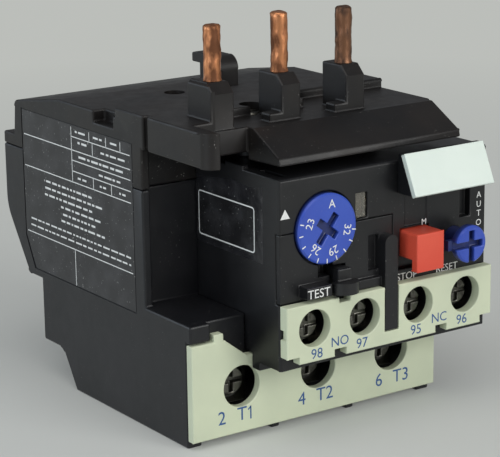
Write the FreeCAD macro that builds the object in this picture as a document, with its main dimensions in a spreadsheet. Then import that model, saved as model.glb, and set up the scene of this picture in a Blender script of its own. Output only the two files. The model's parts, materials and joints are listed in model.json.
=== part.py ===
import FreeCAD
import Part
import Sketcher

import os

# Thermal overload relay, 45 mm wide, for plugging under a contactor.
#
# Design frame, in millimetres: X runs to the right from the outer face of the left
# wall, Y runs back from the front face of the power terminal cover, Z runs up from
# the feet.  Every sub-part is drawn in this frame and then shifted by the same
# amount, so that the finished relay stands with its origin under its middle.

DOCUMENT = FreeCAD.newDocument("ThermalOverloadRelay")
SHEET = DOCUMENT.addObject("Spreadsheet::Sheet", "Sizes")

SIZES = (
    # overall case
    ("body_width", 45.0, "case, over both side walls"),
    ("case_wall", 1.8, "outer walls of the case and its cover"),
    ("pole_pitch", 13.87, "centre to centre of two poles"),
    ("partition", 1.5, "wall between two poles"),
    ("back_wall_height", 10.5, "upright rear face of the case base"),
    ("seat_gap", 0.05, "gap left between pieces that are laid together"),
    # side outline of the case base
    ("base_length", 33.8, "front of the cover to the rear edge of the feet"),
    ("toe_rise", 6.0, "top of the slope behind the feet"),
    ("toe_run", 3.9, "length of the slope behind the feet"),
    ("heel_step", 6.0, "top of that slope to the rear face above it"),
    ("heel_height", 10.1, "height of the rear face under the overhang"),
    ("belly_step", 4.1, "overhang over that rear face"),
    ("back_step", 6.8, "slant from the overhang to the rearmost face"),
    ("back_slant_height", 9.9, "height of the slant over the overhang"),
    ("back_round", 7.0, "rounding of the rear face into the overhang"),
    ("outline_round", 1.4, "small roundings of the side outline"),
    ("roof_height", 13.1, "top of the terminal chambers"),
    ("roof_wall", 1.2, "roof over the terminal chambers"),
    ("recess_floor_rise", 5.7, "floor of the open recess on the left, over the terminal chambers"),
    ("recess_back", 14.0, "front to the rear wall of the recess"),
    ("recess_rail", 1.4, "thickness of the wall edge beside the recess"),
    ("rail_front", 12.3, "front to the front edge of that wall"),
    ("lip_height", 2.7, "lip that closes over the power cover"),
    ("lip_width", 3.5, "width of that lip"),
    ("lip_set_back", 0.3, "lip behind the front face of the power cover"),
    ("entry_depth", 13.2, "front to the rear edge of the cable entries"),
    ("floor_wall", 2.0, "floor of the pole chambers"),
    # top cover
    ("deck_thickness", 3.7, "deck from its underside to its top"),
    ("deck_front", 1.6, "front face of the deck"),
    ("deck_clear", 6.1, "underside of the deck over the seam"),
    ("deck_skin", 1.2, "skin under and over the strap channels"),
    ("ridge_step", 18.3, "ridge where the top starts to fall, in front of the rear"),
    ("fall_step", 4.1, "lower end of the fall, in front of the rear"),
    ("fall_drop", 2.2, "how far the top falls towards the rear"),
    ("tab_rise", 2.0, "ledge along the rear, over the seam"),
    ("tab_step", 3.5, "depth of the ledge along the rear"),
    ("step_height", 1.4, "raised field over the deck"),
    ("step_front", 13.3, "front edge of the raised field, right part"),
    ("step_notch", 8.0, "front edge of the raised field, left part"),
    ("step_break", 26.0, "left wall to where the front edge steps back"),
    ("step_back", 22.6, "rear edge of the raised field"),
    ("step_slant", 3.1, "how far the left end of the rear edge comes forward"),
    ("step_slant_width", 8.9, "width of the slanted stretch"),
    ("wing_front", 5.1, "wing of the left wall in front of the cover plane"),
    ("wing_wall", 2.3, "thickness of the wing"),
    ("notch_front", 20.1, "front of the notch in the left edge"),
    ("notch_length", 5.7, "length of the notch in the left edge"),
    ("notch_depth", 1.8, "depth of the notch below the deck"),
    ("groove_front", 10.5, "front of the upright groove in the left wall"),
    ("groove_width", 1.2, "width of the upright groove"),
    ("groove_depth", 0.8, "depth of the upright groove"),
    # hood over the control module
    ("hood_left", 11.3, "left wall to the hood"),
    ("hood_right", 44.4, "left wall to the right end of the hood"),
    ("hood_front", 6.0, "hood edge in front of the cover plane"),
    ("hood_edge_rise", 0.3, "front edge of the hood over the underside of the deck"),
    ("hood_lip", 1.1, "upright lip under the front edge"),
    ("hood_wall", 1.4, "wall of the hood"),
    # pins and bosses
    ("pin_pitch", 11.65, "centre to centre of two copper pins"),
    ("pin_left", 7.55, "left wall to the first pin"),
    ("pin_depth", 4.7, "front to the pins"),
    ("pin_radius", 1.35, "copper pin"),
    ("pin_root", 0.9, "thinner root of a pin inside its boss"),
    ("pin_fit", 0.05, "clearance around a pin in its boss"),
    ("pin_rise_1", 8.1, "first pin over its boss"),
    ("pin_rise_2", 8.8, "second pin over its boss"),
    ("pin_rise_3", 8.4, "third pin over its boss"),
    ("pin_bevel", 0.25, "broken edge of the cut end"),
    ("boss_width", 3.4, "boss that carries a pin"),
    ("boss_front", 1.75, "front to the front face of a boss"),
    ("boss_length", 6.0, "front to back of a boss"),
    ("boss_rise", 6.7, "boss over the deck"),
    ("boss_bevel", 1.5, "slope at the front of the boss top"),
    ("flange_wall", 0.7, "upright flange on the left of the first boss"),
    ("ledge_width", 2.1, "low ledge to the left of the other bosses"),
    ("ledge_rise", 1.3, "height of the low ledge"),
    ("ledge_length", 2.4, "front to back of the low ledge"),
    # hook and cover screws
    ("hook_left", 25.3, "left wall to the hook"),
    ("hook_width", 3.3, "hook across the relay"),
    ("hook_front", 29.0, "front to the front of the hook"),
    ("hook_length", 6.2, "root of the hook, front to back"),
    ("hook_rise", 4.7, "hook above the deck"),
    ("hook_nose", 2.2, "overhang of the hook's nose"),
    ("hook_nose_height", 1.7, "thickness of the nose"),
    ("hook_foot", 1.0, "depth of the hook's foot in the cover"),
    ("screw_column", 17.2, "left wall to the two cover screws"),
    ("front_screw_depth", 9.4, "front to the front cover screw"),
    ("rear_screw_depth", 30.0, "front to the rear cover screw"),
    ("cover_screw_head", 1.6, "radius of a cover screw head"),
    ("cover_screw_shank", 0.8, "radius of a cover screw shank"),
    ("cover_screw_sink", 1.1, "head below the surface around it"),
    ("screw_head_height", 1.1, "height of a cover screw head"),
    ("screw_post", 2.2, "radius of a post that takes a cover screw"),
    # control module
    ("module_left", 10.39, "left wall to the module"),
    ("module_overhang", 3.6, "module beyond the right wall of the case"),
    ("module_front", 7.2, "module face in front of the cover plane"),
    ("module_headroom", 2.4, "gap between the module and the deck"),
    ("module_wall", 1.6, "side walls of the module"),
    ("face_wall", 2.0, "front wall of the module"),
    ("skirt_bottom", 12.0, "underside of the module in front of the power cover"),
    ("skirt_foot", 10.8, "underside of the small foot of the skirt"),
    ("skirt_foot_length", 1.9, "front to back of that foot"),
    ("skirt_foot_width", 2.5, "width of that foot"),
    ("cavity_floor_rise", 0.5, "floor of the module over the top of the auxiliary cover"),
    ("lower_floor_wall", 1.65, "lower floor of the module behind the auxiliary terminals"),
    ("module_slot", 1.0, "width of the slit in the module's top"),
    ("track_left", 33.1, "left wall to the shallow track over the stop button"),
    ("track_width", 4.1, "track over the stop button"),
    ("track_depth", 0.25, "depth of that track"),
    # recess for the rating label
    ("label_front", 14.8, "front to the front edge of the label recess"),
    ("label_back", 48.4, "front to the rear edge of the label recess"),
    ("label_bottom", 17.3, "lower edge of the label recess"),
    ("label_top", 43.2, "upper edge of the label recess"),
    ("label_corner", 5.0, "height of the cut corner of the label recess"),
    ("label_corner_run", 2.6, "length of the cut corner of the label recess"),
    ("label_depth", 0.12, "depth of the label recess"),
    # power terminal cover
    ("cover_thickness", 1.45, "power terminal cover"),
    ("cover_bottom", 1.2, "underside of the power cover"),
    ("cover_top", 15.9, "top of the power cover at its left end"),
    ("cover_low_top", 12.9, "top of the power cover under the module"),
    ("cover_slope_left", 5.7, "left wall to the start of the slope"),
    ("cover_slope_right", 9.6, "left wall to the end of the slope"),
    ("nib_left", 3.9, "left wall to the nib"),
    ("nib_width", 1.6, "nib on the top edge"),
    ("nib_rise", 1.1, "nib over the top edge"),
    ("power_hole", 3.16, "radius of a power screw hole"),
    ("power_screw_height", 8.33, "height of the power screws"),
    ("overrun", 1.0, "how far a cut runs past an open face"),
    ("edge_round", 0.25, "small roundings of the covers and buttons"),
    # auxiliary terminal cover
    ("aux_thickness", 1.76, "auxiliary terminal cover"),
    ("aux_bottom", 13.1, "underside of the auxiliary cover"),
    ("aux_height", 8.8, "height of the auxiliary cover"),
    ("aux_step", 1.15, "steps in the underside"),
    ("aux_corner", 2.2, "width of the stepped corners"),
    ("aux_notch_width", 2.15, "width of the notches by the lettering"),
    ("aux_notch_offset", 10.5, "first notch from the middle of the cover"),
    ("aux_hole", 2.77, "radius of an auxiliary screw hole"),
    ("aux_screw_drop", 3.75, "auxiliary screws below the top of their cover"),
    ("aux_middle", 29.35, "left wall to the middle of the auxiliary screws"),
    ("aux_inner", 5.0, "middle to the inner screws"),
    ("aux_pitch", 9.05, "inner to outer screw"),
    ("divider_width", 2.4, "bar between the two halves of the cover"),
    ("divider_gap", 0.12, "gap around the bar"),
    ("divider_foot", 15.1, "lower end of the bar"),
    ("aux_cell", 6.6, "width of an auxiliary terminal chamber"),
    ("aux_cell_height", 7.2, "height of an auxiliary terminal chamber"),
    ("aux_cell_depth", 8.6, "depth of an auxiliary terminal chamber"),
    ("wire_entry", 4.4, "width of an auxiliary wire entry"),
    ("wire_entry_depth", 4.2, "front to back of an auxiliary wire entry"),
    # front panel of the module
    ("panel_over_dial", 0.15, "top edge of the lower panel over the dial axis"),
    ("panel_right", 30.8, "left wall to the right edge of the lower panel"),
    ("panel_depth", 1.0, "inset of the lower panel"),
    ("panel_gap", 0.1, "gap around the lower panel"),
    ("rib_rise", 7.7, "arched rib over the auxiliary cover"),
    ("rib_proud", 1.8, "rib in front of the module face"),
    ("rib_pocket", 1.8, "width of the pocket left of the rib"),
    ("shelf_height", 1.4, "height of the shelf left of the rib"),
    ("shelf_proud", 0.8, "shelf in front of the module face"),
    ("test_bar_gap", 0.4, "gap between the lettered bar and the test key"),
    ("test_bar_width", 4.4, "lettered bar"),
    ("test_bar_height", 1.7, "height of the lettered bar"),
    ("test_bar_proud", 2.1, "lettered bar in front of the module face"),
    ("trip_slot_offset", 1.2, "left edge of the slot to the left of the dial axis"),
    ("trip_slot_width", 2.6, "slot under the dial"),
    ("trip_slot_drop", 7.15, "lower end of the slot below the dial axis"),
    ("trip_slot_height", 2.1, "height of the slot under the dial"),
    # dial
    ("dial_radius", 5.2, "setting dial"),
    ("dial_from_left", 8.06, "dial axis from the left face of the module"),
    ("dial_over_key", 0.8, "dial over the test key"),
    ("dial_proud", 0.7, "dial in front of the module face"),
    ("dial_thickness", 1.5, "disc of the dial"),
    ("dial_rim_gap", 0.25, "gap around the dial"),
    ("dial_hub", 2.2, "radius of the dial hub"),
    ("hub_fit", 0.05, "clearance of the hub in its bore"),
    ("dial_slot_length", 5.1, "long arm of the dial's screwdriver cross"),
    ("dial_slot_short", 4.1, "short arm of the dial's screwdriver cross"),
    ("dial_slot_width", 1.2, "width of the dial's cross slot"),
    ("dial_turn", 38.0, "degrees that the long arm leans to the right"),
    ("dial_slot_depth", 0.9, "depth of the dial's cross slot"),
    ("hub_length", 7.4, "hub behind the disc"),
    ("cam_radius", 3.1, "eccentric on the hub"),
    ("cam_offset", 0.8, "eccentric off the axis"),
    ("cam_width", 2.0, "width of the eccentric"),
    # test key
    ("key_from_dial", 2.25, "middle of the test key to the right of the dial axis"),
    ("key_width", 4.2, "round-ended tab of the test key"),
    ("key_reach", 3.7, "tab in front of the module face"),
    ("key_over_cover", 0.7, "test key over the auxiliary cover"),
    ("key_thickness", 1.7, "tab"),
    ("key_post_width", 2.4, "upright post of the test key"),
    ("key_post_height", 3.5, "height of the test key"),
    ("key_post_depth", 1.6, "front to back of the post"),
    ("key_travel", 1.0, "stroke of the test key"),
    ("key_stem_width", 2.0, "stem through the front wall"),
    ("slide_gap", 0.2, "gap around the sliding keys"),
    # stop button
    ("stop_from_reset", 10.0, "left edge of the stop button to the left of the reset button's axis"),
    ("stop_width", 5.1, "stop button"),
    ("stop_height", 5.8, "height of the stop button's head"),
    ("stop_overhang", 1.7, "how far the head hangs below the shank"),
    ("stop_over_cover", 1.8, "head of the stop button over the auxiliary cover"),
    ("stop_reach", 3.8, "head in front of the module face"),
    ("stop_head_thickness", 1.4, "head, front to back"),
    # reset button
    ("reset_from_right", 6.2, "reset button's axis from the right face of the module"),
    ("reset_over_cover", 4.7, "reset button's axis over the auxiliary cover"),
    ("reset_radius", 2.85, "round head"),
    ("reset_reach", 4.3, "head in front of the module face"),
    ("reset_head_thickness", 1.4, "head, front to back"),
    ("reset_stem_radius", 1.95, "turning stem behind the head"),
    ("reset_core_radius", 1.1, "plunger that the button turns on"),
    ("reset_travel", 2.0, "stroke of the reset button"),
    ("reset_slot_reach", 2.1, "cross slot from the axis to its closed ends"),
    ("reset_slot_width", 1.05, "width of that slot"),
    ("reset_slot_depth", 1.1, "depth of that slot"),
    ("pointer_reach", 3.6, "pointer behind the head, from the axis"),
    ("pointer_width", 1.6, "pointer behind the head"),
    ("detent_left", 43.6, "left wall to the upright detent recess"),
    ("detent_width", 2.0, "detent recess"),
    ("detent_bottom", 29.7, "lower end of the detent recess"),
    ("detent_top", 34.3, "upper end of the detent recess"),
    ("detent_depth", 1.2, "depth of the detent recess"),
    # window
    ("window_from_dial", 5.55, "left edge of the window to the right of the dial axis"),
    ("window_width", 2.1, "window"),
    ("window_over_panel", 0.25, "window over the lower panel"),
    ("window_height", 3.8, "window"),
    ("pane_set_back", 0.4, "pane behind the module face"),
    ("pane_thickness", 1.0, "pane"),
    # marker
    ("marker_left", 31.2, "left wall to the marker plate"),
    ("marker_width", 15.0, "marker plate"),
    ("marker_over_module", 1.3, "top edge of the plate over the module"),
    ("marker_height", 5.9, "plate from its bottom edge to its top edge"),
    ("marker_top_reach", 2.1, "top edge in front of the module face"),
    ("marker_bottom_reach", 4.8, "bottom edge in front of the module face"),
    ("marker_thickness", 0.8, "marker plate"),
    ("holder_inset", 0.5, "holder inside the ends of the plate"),
    # power terminals
    ("power_head", 2.6, "radius of a power screw head"),
    ("power_head_height", 1.8, "power screw head"),
    ("power_head_front", 3.0, "front to the power screw head"),
    ("power_thread", 1.5, "radius of the power screw thread"),
    ("driver_slot", 0.7, "width of a screwdriver slot"),
    ("clamp_width", 8.8, "clamp cage across"),
    ("clamp_bar", 1.6, "threaded bar of the cage"),
    ("clamp_side", 1.1, "sides and rear bar of the cage"),
    ("clamp_below_tongue", 7.3, "underside of the cage below the top of the tongue"),
    ("clamp_height", 6.0, "height of the cage"),
    ("cable_room", 5.3, "room for a cable, front to back"),
    ("tongue_thickness", 1.0, "terminal tongue"),
    ("tongue_width", 5.2, "terminal tongue"),
    ("tongue_under_roof", 0.4, "tongue under the roof of its chamber"),
    # heaters and bimetals
    ("bimetal_width", 5.0, "bimetal strip"),
    ("bimetal_thickness", 0.9, "bimetal strip"),
    ("bimetal_over_bar", 0.2, "free end of the strip over the transfer bar"),
    ("heater_gap", 0.3, "insulation gap around the strip"),
    ("heater_wire", 0.6, "heater ribbon"),
    ("heater_turn_height", 0.9, "height of one turn of ribbon"),
    ("heater_turn_pitch", 1.9, "pitch of the turns"),
    ("heater_bottom", 14.5, "lowest turn"),
    ("strap_width", 2.6, "strap from the pin to the heater"),
    ("strap_thickness", 1.0, "strap"),
    # transfer bar and trip lever
    ("bar_thickness", 1.5, "transfer bar, front to back"),
    ("bar_height", 2.6, "transfer bar"),
    ("bar_below_seam", 6.1, "underside of the transfer bar below the seam"),
    ("bar_lead", 0.6, "cold gap between bar and strips"),
    ("bar_gap", 0.3, "gap around the transfer bar"),
    ("bar_travel", 1.2, "stroke of the transfer bar"),
    ("finger_x", 27.3, "left wall to the middle of the bar's finger"),
    ("finger_width", 2.4, "finger through the wall"),
    ("finger_front", 10.2, "front to the tip of the finger"),
    ("lever_depth", 8.6, "front to the lever's pivot"),
    ("lever_below_bar", 4.8, "lever's pivot below the transfer bar"),
    ("lever_hub", 1.7, "radius of the lever hub"),
    ("pivot_radius", 0.8, "pivot pin"),
    ("pivot_fit", 0.05, "clearance of the lever on its pin"),
    ("lever_width", 2.8, "trip lever across"),
    ("lever_wall", 1.1, "thickness of the lever's arm"),
    ("lever_over_bar", 1.8, "upper end of the lever's arm over the transfer bar"),
    ("flag_front", 2.6, "tip of the flag in front of the cover plane"),
    ("flag_height", 1.6, "flag"),
    ("toe_length", 5.4, "lower arm of the lever"),
    # contacts
    ("contact_thickness", 0.5, "contact blades"),
    ("contact_width", 3.2, "contact blades"),
    ("contact_bottom", 15.4, "lower end of the contact blades"),
    ("contact_reach", 6.0, "front to the rear face of the contact blades"),
    ("contact_tail", 0.7, "tail that joins blade and terminal"),
    # auxiliary terminals
    ("aux_head", 2.3, "radius of an auxiliary screw head"),
    ("aux_head_height", 1.4, "auxiliary screw head"),
    ("aux_head_front", 0.5, "screw head behind the module face"),
    ("aux_thread", 1.25, "radius of the auxiliary screw thread"),
    ("aux_thread_length", 6.2, "auxiliary screw behind its head"),
    ("aux_plate_width", 5.6, "clamping plate and terminal plate"),
    ("aux_plate_height", 5.0, "clamping plate"),
    ("aux_plate_thickness", 1.0, "clamping plate and terminal plate"),
    ("aux_wire_room", 2.2, "room for a wire between the two plates"),
    # inner frame and springs
    ("frame_front", 1.3, "front to the inner frame"),
    ("frame_thickness", 1.5, "inner frame"),
    ("ear_width", 1.5, "ears that hold the pivot pin"),
    ("ear_reach", 10.8, "front to the rear end of the ears"),
    ("ear_half_height", 2.2, "ears above and below the pivot"),
    ("flag_window_drop", 4.3, "frame opening below the top of the lever"),
    ("flag_window_rise", 1.2, "frame opening above the top of the lever"),
    ("flange_rim", 0.9, "retaining flange around a stem"),
    ("flange_thickness", 1.1, "retaining flange"),
    ("core_tip", 1.0, "end of a key's core in front of the cover plane"),
    ("key_core", 0.7, "radius of the test key's core"),
    ("stop_core", 1.0, "radius of the stop button's core"),
    ("spring_radius", 1.7, "middle radius of the return springs"),
    ("spring_wire", 0.25, "radius of the spring wire"),
    ("spring_turns", 2.5, "turns of a return spring"),
)


class Size:
    """A length as a number, with the sheet formula that gives it."""

    def __init__(self, number, formula=None):
        self.number = float(number)
        self.formula = repr(float(number)) if formula is None else formula

    def joined(self, other, sign, number):
        """Return the size that this one and another make."""
        return Size(number, "(%s %s %s)" % (self.formula, sign, as_size(other).formula))

    def __add__(self, other):
        return self.joined(other, "+", self.number + as_size(other).number)

    def __sub__(self, other):
        return self.joined(other, "-", self.number - as_size(other).number)

    def __mul__(self, other):
        return self.joined(other, "*", self.number * as_size(other).number)

    def __truediv__(self, other):
        return self.joined(other, "/", self.number / as_size(other).number)

    def __radd__(self, other):
        return as_size(other) + self

    def __rsub__(self, other):
        return as_size(other) - self

    def __rmul__(self, other):
        return as_size(other) * self

    def __neg__(self):
        return Size(0) - self


def as_size(value):
    """Return a value as a Size."""
    return value if isinstance(value, Size) else Size(value)


class Sheet:
    """The driving sizes: each alias of the sheet is an attribute."""

    def __init__(self, rows):
        for row, (alias, number, meaning) in enumerate(rows, start=1):
            SHEET.set("A%d" % row, alias)
            SHEET.set("B%d" % row, str(number))
            SHEET.set("C%d" % row, meaning)
            SHEET.setAlias("B%d" % row, alias)
            setattr(self, alias, Size(number, "Sizes." + alias))


S = Sheet(SIZES)
DOCUMENT.recompute()

# Places that follow from the driving sizes.
HEEL_REACH = S.base_length + S.toe_run + S.heel_step
BELLY_REACH = HEEL_REACH + S.belly_step
BACK_REACH = BELLY_REACH + S.back_step
BELLY_HEIGHT = S.toe_rise + S.heel_height
BACK_HEIGHT = BELLY_HEIGHT + S.back_slant_height
SPLIT_HEIGHT = BACK_HEIGHT + S.back_wall_height
DECK_UNDER = SPLIT_HEIGHT + S.deck_clear
DECK_HEIGHT = DECK_UNDER + S.deck_thickness
RIDGE_REACH = BACK_REACH - S.ridge_step
FALL_REACH = BACK_REACH - S.fall_step
FALL_HEIGHT = DECK_HEIGHT - S.fall_drop
TAB_HEIGHT = SPLIT_HEIGHT + S.tab_rise
TAB_FRONT = BACK_REACH - S.tab_step
HOOD_EDGE_HEIGHT = DECK_UNDER + S.hood_edge_rise
BOSS_TOP = DECK_HEIGHT + S.boss_rise
MODULE_TOP = DECK_UNDER - S.module_headroom
MODULE_RIGHT = S.body_width + S.module_overhang
AUX_TOP = S.aux_bottom + S.aux_height
AUX_SCREW_HEIGHT = AUX_TOP - S.aux_screw_drop
CAVITY_FLOOR = AUX_TOP + S.cavity_floor_rise
LOWER_FLOOR = S.roof_height + S.seat_gap + S.lower_floor_wall
KEY_BOTTOM = AUX_TOP + S.key_over_cover
KEY_POST_TOP = KEY_BOTTOM + S.key_post_height
DIAL_HEIGHT = KEY_POST_TOP + S.dial_over_key + S.dial_radius
DIAL_X = S.module_left + S.dial_from_left
KEY_X = DIAL_X + S.key_from_dial
PANEL_TOP = DIAL_HEIGHT + S.panel_over_dial
TRIP_SLOT_LEFT = DIAL_X - S.trip_slot_offset
TRIP_SLOT_BOTTOM = DIAL_HEIGHT - S.trip_slot_drop
WINDOW_LEFT = DIAL_X + S.window_from_dial
WINDOW_BOTTOM = PANEL_TOP + S.window_over_panel
SHELF_TOP = AUX_TOP + S.shelf_height + S.panel_gap
RIB_TOP = AUX_TOP + S.rib_rise
TEST_BAR_LEFT = KEY_X - S.key_width / 2 - S.test_bar_gap - S.test_bar_width
MARKER_TOP = MODULE_TOP + S.marker_over_module
MARKER_BOTTOM = MARKER_TOP - S.marker_height
STOP_HEAD_BOTTOM = AUX_TOP + S.stop_over_cover
STOP_SHANK_BOTTOM = STOP_HEAD_BOTTOM + S.stop_overhang
STOP_TOP = STOP_HEAD_BOTTOM + S.stop_height
RESET_HEIGHT = AUX_TOP + S.reset_over_cover
RESET_X = MODULE_RIGHT - S.reset_from_right
STOP_LEFT = RESET_X - S.stop_from_reset
BAR_BOTTOM = SPLIT_HEIGHT - S.bar_below_seam
BIMETAL_TOP = BAR_BOTTOM + S.bar_height + S.bimetal_over_bar
LEVER_HEIGHT = BAR_BOTTOM - S.lever_below_bar
LEVER_TOP = BAR_BOTTOM + S.bar_height + S.lever_over_bar
FLAG_WINDOW_BOTTOM = LEVER_TOP - S.flag_window_drop
FLAG_WINDOW_TOP = LEVER_TOP + S.flag_window_rise
RECESS_FLOOR = S.roof_height + S.recess_floor_rise
TONGUE_TOP = S.roof_height - S.roof_wall - S.tongue_under_roof
CLAMP_BOTTOM = TONGUE_TOP - S.clamp_below_tongue

# Sizes that several sub-parts share, worked out from the driving sizes.
CHAMBER = S.pole_pitch - S.partition
SIDE_WALL = (S.body_width - 3 * S.pole_pitch + S.partition) / 2
CHAMBER_FRONT = S.recess_back + S.case_wall
FACE = -S.module_front
FACE_BACK = FACE + S.face_wall
TONGUE_FRONT = S.power_head_front + S.power_head_height + S.clamp_bar + S.cable_room
TONGUE_BACK = TONGUE_FRONT + S.tongue_thickness
BAR_BACK = CHAMBER_FRONT + S.bar_gap + S.bar_travel + S.bar_thickness
STRIP_FRONT = BAR_BACK + S.bar_lead
STRIP_BACK = STRIP_FRONT + S.bimetal_thickness
HEATER_FRONT = STRIP_FRONT - S.heater_gap - S.heater_wire
HEATER_BACK = STRIP_BACK + S.heater_gap + S.heater_wire
AUX_FRONT = FACE - S.aux_thickness
STRAP_BOTTOM = DECK_UNDER + S.deck_skin + S.seat_gap
STRAP_TOP = STRAP_BOTTOM + S.strap_thickness
HEATER_TURNS = 8
AUX_OFFSETS = (
    -S.aux_inner - S.aux_pitch,
    -S.aux_inner,
    S.aux_inner,
    S.aux_inner + S.aux_pitch,
)

# The finished relay is shifted so that its origin lies under the middle of its box.
MIDDLE_X = MODULE_RIGHT / 2
MIDDLE_Y = (BACK_REACH - S.module_front - S.marker_bottom_reach) / 2

SUB_PARTS = []


def pole_x(pole):
    """Return the X of the middle of a pole's chamber."""
    return S.body_width / 2 + (pole - 1) * S.pole_pitch


def pin_x(pole):
    """Return the X of a pole's copper pin."""
    return S.pin_left + pole * S.pin_pitch


def aux_x(index):
    """Return the X of an auxiliary terminal screw."""
    return S.aux_middle + AUX_OFFSETS[index]


def bind(owner, path, size):
    """Bind a property of an object to the sheet."""
    owner.setExpression(path, as_size(size).formula)


def finish(body, x=0.0, y=0.0, z=0.0):
    """Place a body, shifted into the relay's own frame, and list it for export."""
    bind(body, "Placement.Base.x", x - MIDDLE_X)
    bind(body, "Placement.Base.y", y - MIDDLE_Y)
    bind(body, "Placement.Base.z", z)
    SUB_PARTS.append(body)
    return body


def new_body(label):
    """Make an empty body."""
    body = DOCUMENT.addObject("PartDesign::Body", label.title().replace("_", ""))
    body.Label = label
    return body


def datum(body, role):
    """Return one of a body's own origin planes or axes."""
    return next(item for item in body.Origin.OriginFeatures if item.Role == role)


def new_sketch(body, plane, offset):
    """Make a sketch on an origin plane, moved along the plane's normal."""
    sketch = body.newObject("Sketcher::SketchObject", "Outline")
    sketch.AttachmentSupport = [(datum(body, plane), "")]
    sketch.MapMode = "FlatFace"
    bind(sketch, "AttachmentOffset.Base.z", offset)
    return sketch


def fix_point(sketch, curve, end, x, y):
    """Hold a point of a sketch at two sizes."""
    for kind, size in (("DistanceX", as_size(x)), ("DistanceY", as_size(y))):
        index = sketch.addConstraint(Sketcher.Constraint(kind, -1, 1, curve, end, size.number))
        bind(sketch, "Constraints[%d]" % index, size)


def draw_outline(sketch, points):
    """Draw a closed outline of straight lines through the points."""
    corners = [FreeCAD.Vector(as_size(x).number, as_size(y).number, 0) for x, y in points]
    first = sketch.GeometryCount
    count = len(corners)
    for index, corner in enumerate(corners):
        sketch.addGeometry(Part.LineSegment(corner, corners[(index + 1) % count]))
    for index in range(count):
        following = first + (index + 1) % count
        sketch.addConstraint(Sketcher.Constraint("Coincident", first + index, 2, following, 1))
    for index, (x, y) in enumerate(points):
        fix_point(sketch, first + index, 1, x, y)


def draw_circle(sketch, x, y, radius):
    """Draw a circle held by its centre and radius."""
    centre = FreeCAD.Vector(as_size(x).number, as_size(y).number, 0)
    upward = FreeCAD.Vector(0, 0, 1)
    curve = sketch.addGeometry(Part.Circle(centre, upward, as_size(radius).number))
    fix_point(sketch, curve, 3, x, y)
    index = sketch.addConstraint(Sketcher.Constraint("Radius", curve, as_size(radius).number))
    bind(sketch, "Constraints[%d]" % index, radius)


def extrude(body, kind, sketch, length):
    """Pad or pocket a sketch by a length."""
    feature = body.newObject(kind, kind.split("::")[1])
    feature.Profile = sketch
    bind(feature, "Length", length)
    sketch.Visibility = False
    return feature


def side_pad(body, points, left, right):
    """Pad a side outline, given as Y and Z, from one X to another."""
    sketch = new_sketch(body, "YZ_Plane", left)
    draw_outline(sketch, points)
    return extrude(body, "PartDesign::Pad", sketch, right - left)


def side_cut(body, points, left, right):
    """Cut a side outline, given as Y and Z, from one X to another."""
    sketch = new_sketch(body, "YZ_Plane", right)
    draw_outline(sketch, points)
    return extrude(body, "PartDesign::Pocket", sketch, right - left)


def plan_pad(body, points, bottom, top):
    """Pad a plan outline, given as X and Y, from one Z to another."""
    sketch = new_sketch(body, "XY_Plane", bottom)
    draw_outline(sketch, points)
    return extrude(body, "PartDesign::Pad", sketch, top - bottom)


def plan_cut(body, points, bottom, top):
    """Cut a plan outline, given as X and Y, from one Z to another."""
    sketch = new_sketch(body, "XY_Plane", top)
    draw_outline(sketch, points)
    return extrude(body, "PartDesign::Pocket", sketch, top - bottom)


def front_pad(body, points, front, back):
    """Pad a front outline, given as X and Z, from one Y to another."""
    sketch = new_sketch(body, "XZ_Plane", -as_size(back))
    draw_outline(sketch, points)
    return extrude(body, "PartDesign::Pad", sketch, back - front)


def front_cut(body, points, front, back):
    """Cut a front outline, given as X and Z, from one Y to another."""
    sketch = new_sketch(body, "XZ_Plane", -as_size(front))
    draw_outline(sketch, points)
    return extrude(body, "PartDesign::Pocket", sketch, back - front)


def front_bores(body, centres, radius, front, back):
    """Cut round holes along Y at the given X and Z."""
    sketch = new_sketch(body, "XZ_Plane", -as_size(front))
    for x, z in centres:
        draw_circle(sketch, x, z, radius)
    return extrude(body, "PartDesign::Pocket", sketch, back - front)


def front_disc(body, x, z, radius, front, back):
    """Pad a disc along Y."""
    sketch = new_sketch(body, "XZ_Plane", -as_size(back))
    draw_circle(sketch, x, z, radius)
    return extrude(body, "PartDesign::Pad", sketch, back - front)


def side_disc(body, y, z, radius, left, right):
    """Pad a disc along X."""
    sketch = new_sketch(body, "YZ_Plane", left)
    draw_circle(sketch, y, z, radius)
    return extrude(body, "PartDesign::Pad", sketch, right - left)


def side_bore(body, y, z, radius, left, right):
    """Cut a round hole along X."""
    sketch = new_sketch(body, "YZ_Plane", right)
    draw_circle(sketch, y, z, radius)
    return extrude(body, "PartDesign::Pocket", sketch, right - left)


def upright_bore(body, x, y, radius, bottom, top):
    """Cut a round hole along Z."""
    sketch = new_sketch(body, "XY_Plane", top)
    draw_circle(sketch, x, y, radius)
    return extrude(body, "PartDesign::Pocket", sketch, top - bottom)


def upright_post(body, x, y, radius, bottom, top):
    """Pad a round post along Z."""
    sketch = new_sketch(body, "XY_Plane", bottom)
    draw_circle(sketch, x, y, radius)
    return extrude(body, "PartDesign::Pad", sketch, top - bottom)


def box_points(low_x, high_x, low_y, high_y):
    """Return the corners of a rectangle."""
    return [(low_x, low_y), (high_x, low_y), (high_x, high_y), (low_x, high_y)]


def repeat(body, features, axis, pitch, count):
    """Repeat features of a body along one of its axes."""
    pattern = body.newObject("PartDesign::LinearPattern", "Repeat")
    pattern.Originals = features
    pattern.Direction = (datum(body, axis), [""])
    bind(pattern, "Length", pitch * (count - 1))
    pattern.Occurrences = count
    body.Tip = pattern
    return pattern


def turned(body, points):
    """Revolve an outline, given as radius and height, about the body's Z axis."""
    sketch = new_sketch(body, "XZ_Plane", 0)
    draw_outline(sketch, points)
    feature = body.newObject("PartDesign::Revolution", "Turned")
    feature.Profile = sketch
    feature.ReferenceAxis = (sketch, ["V_Axis"])
    feature.Angle = 360
    sketch.Visibility = False
    return feature


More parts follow.
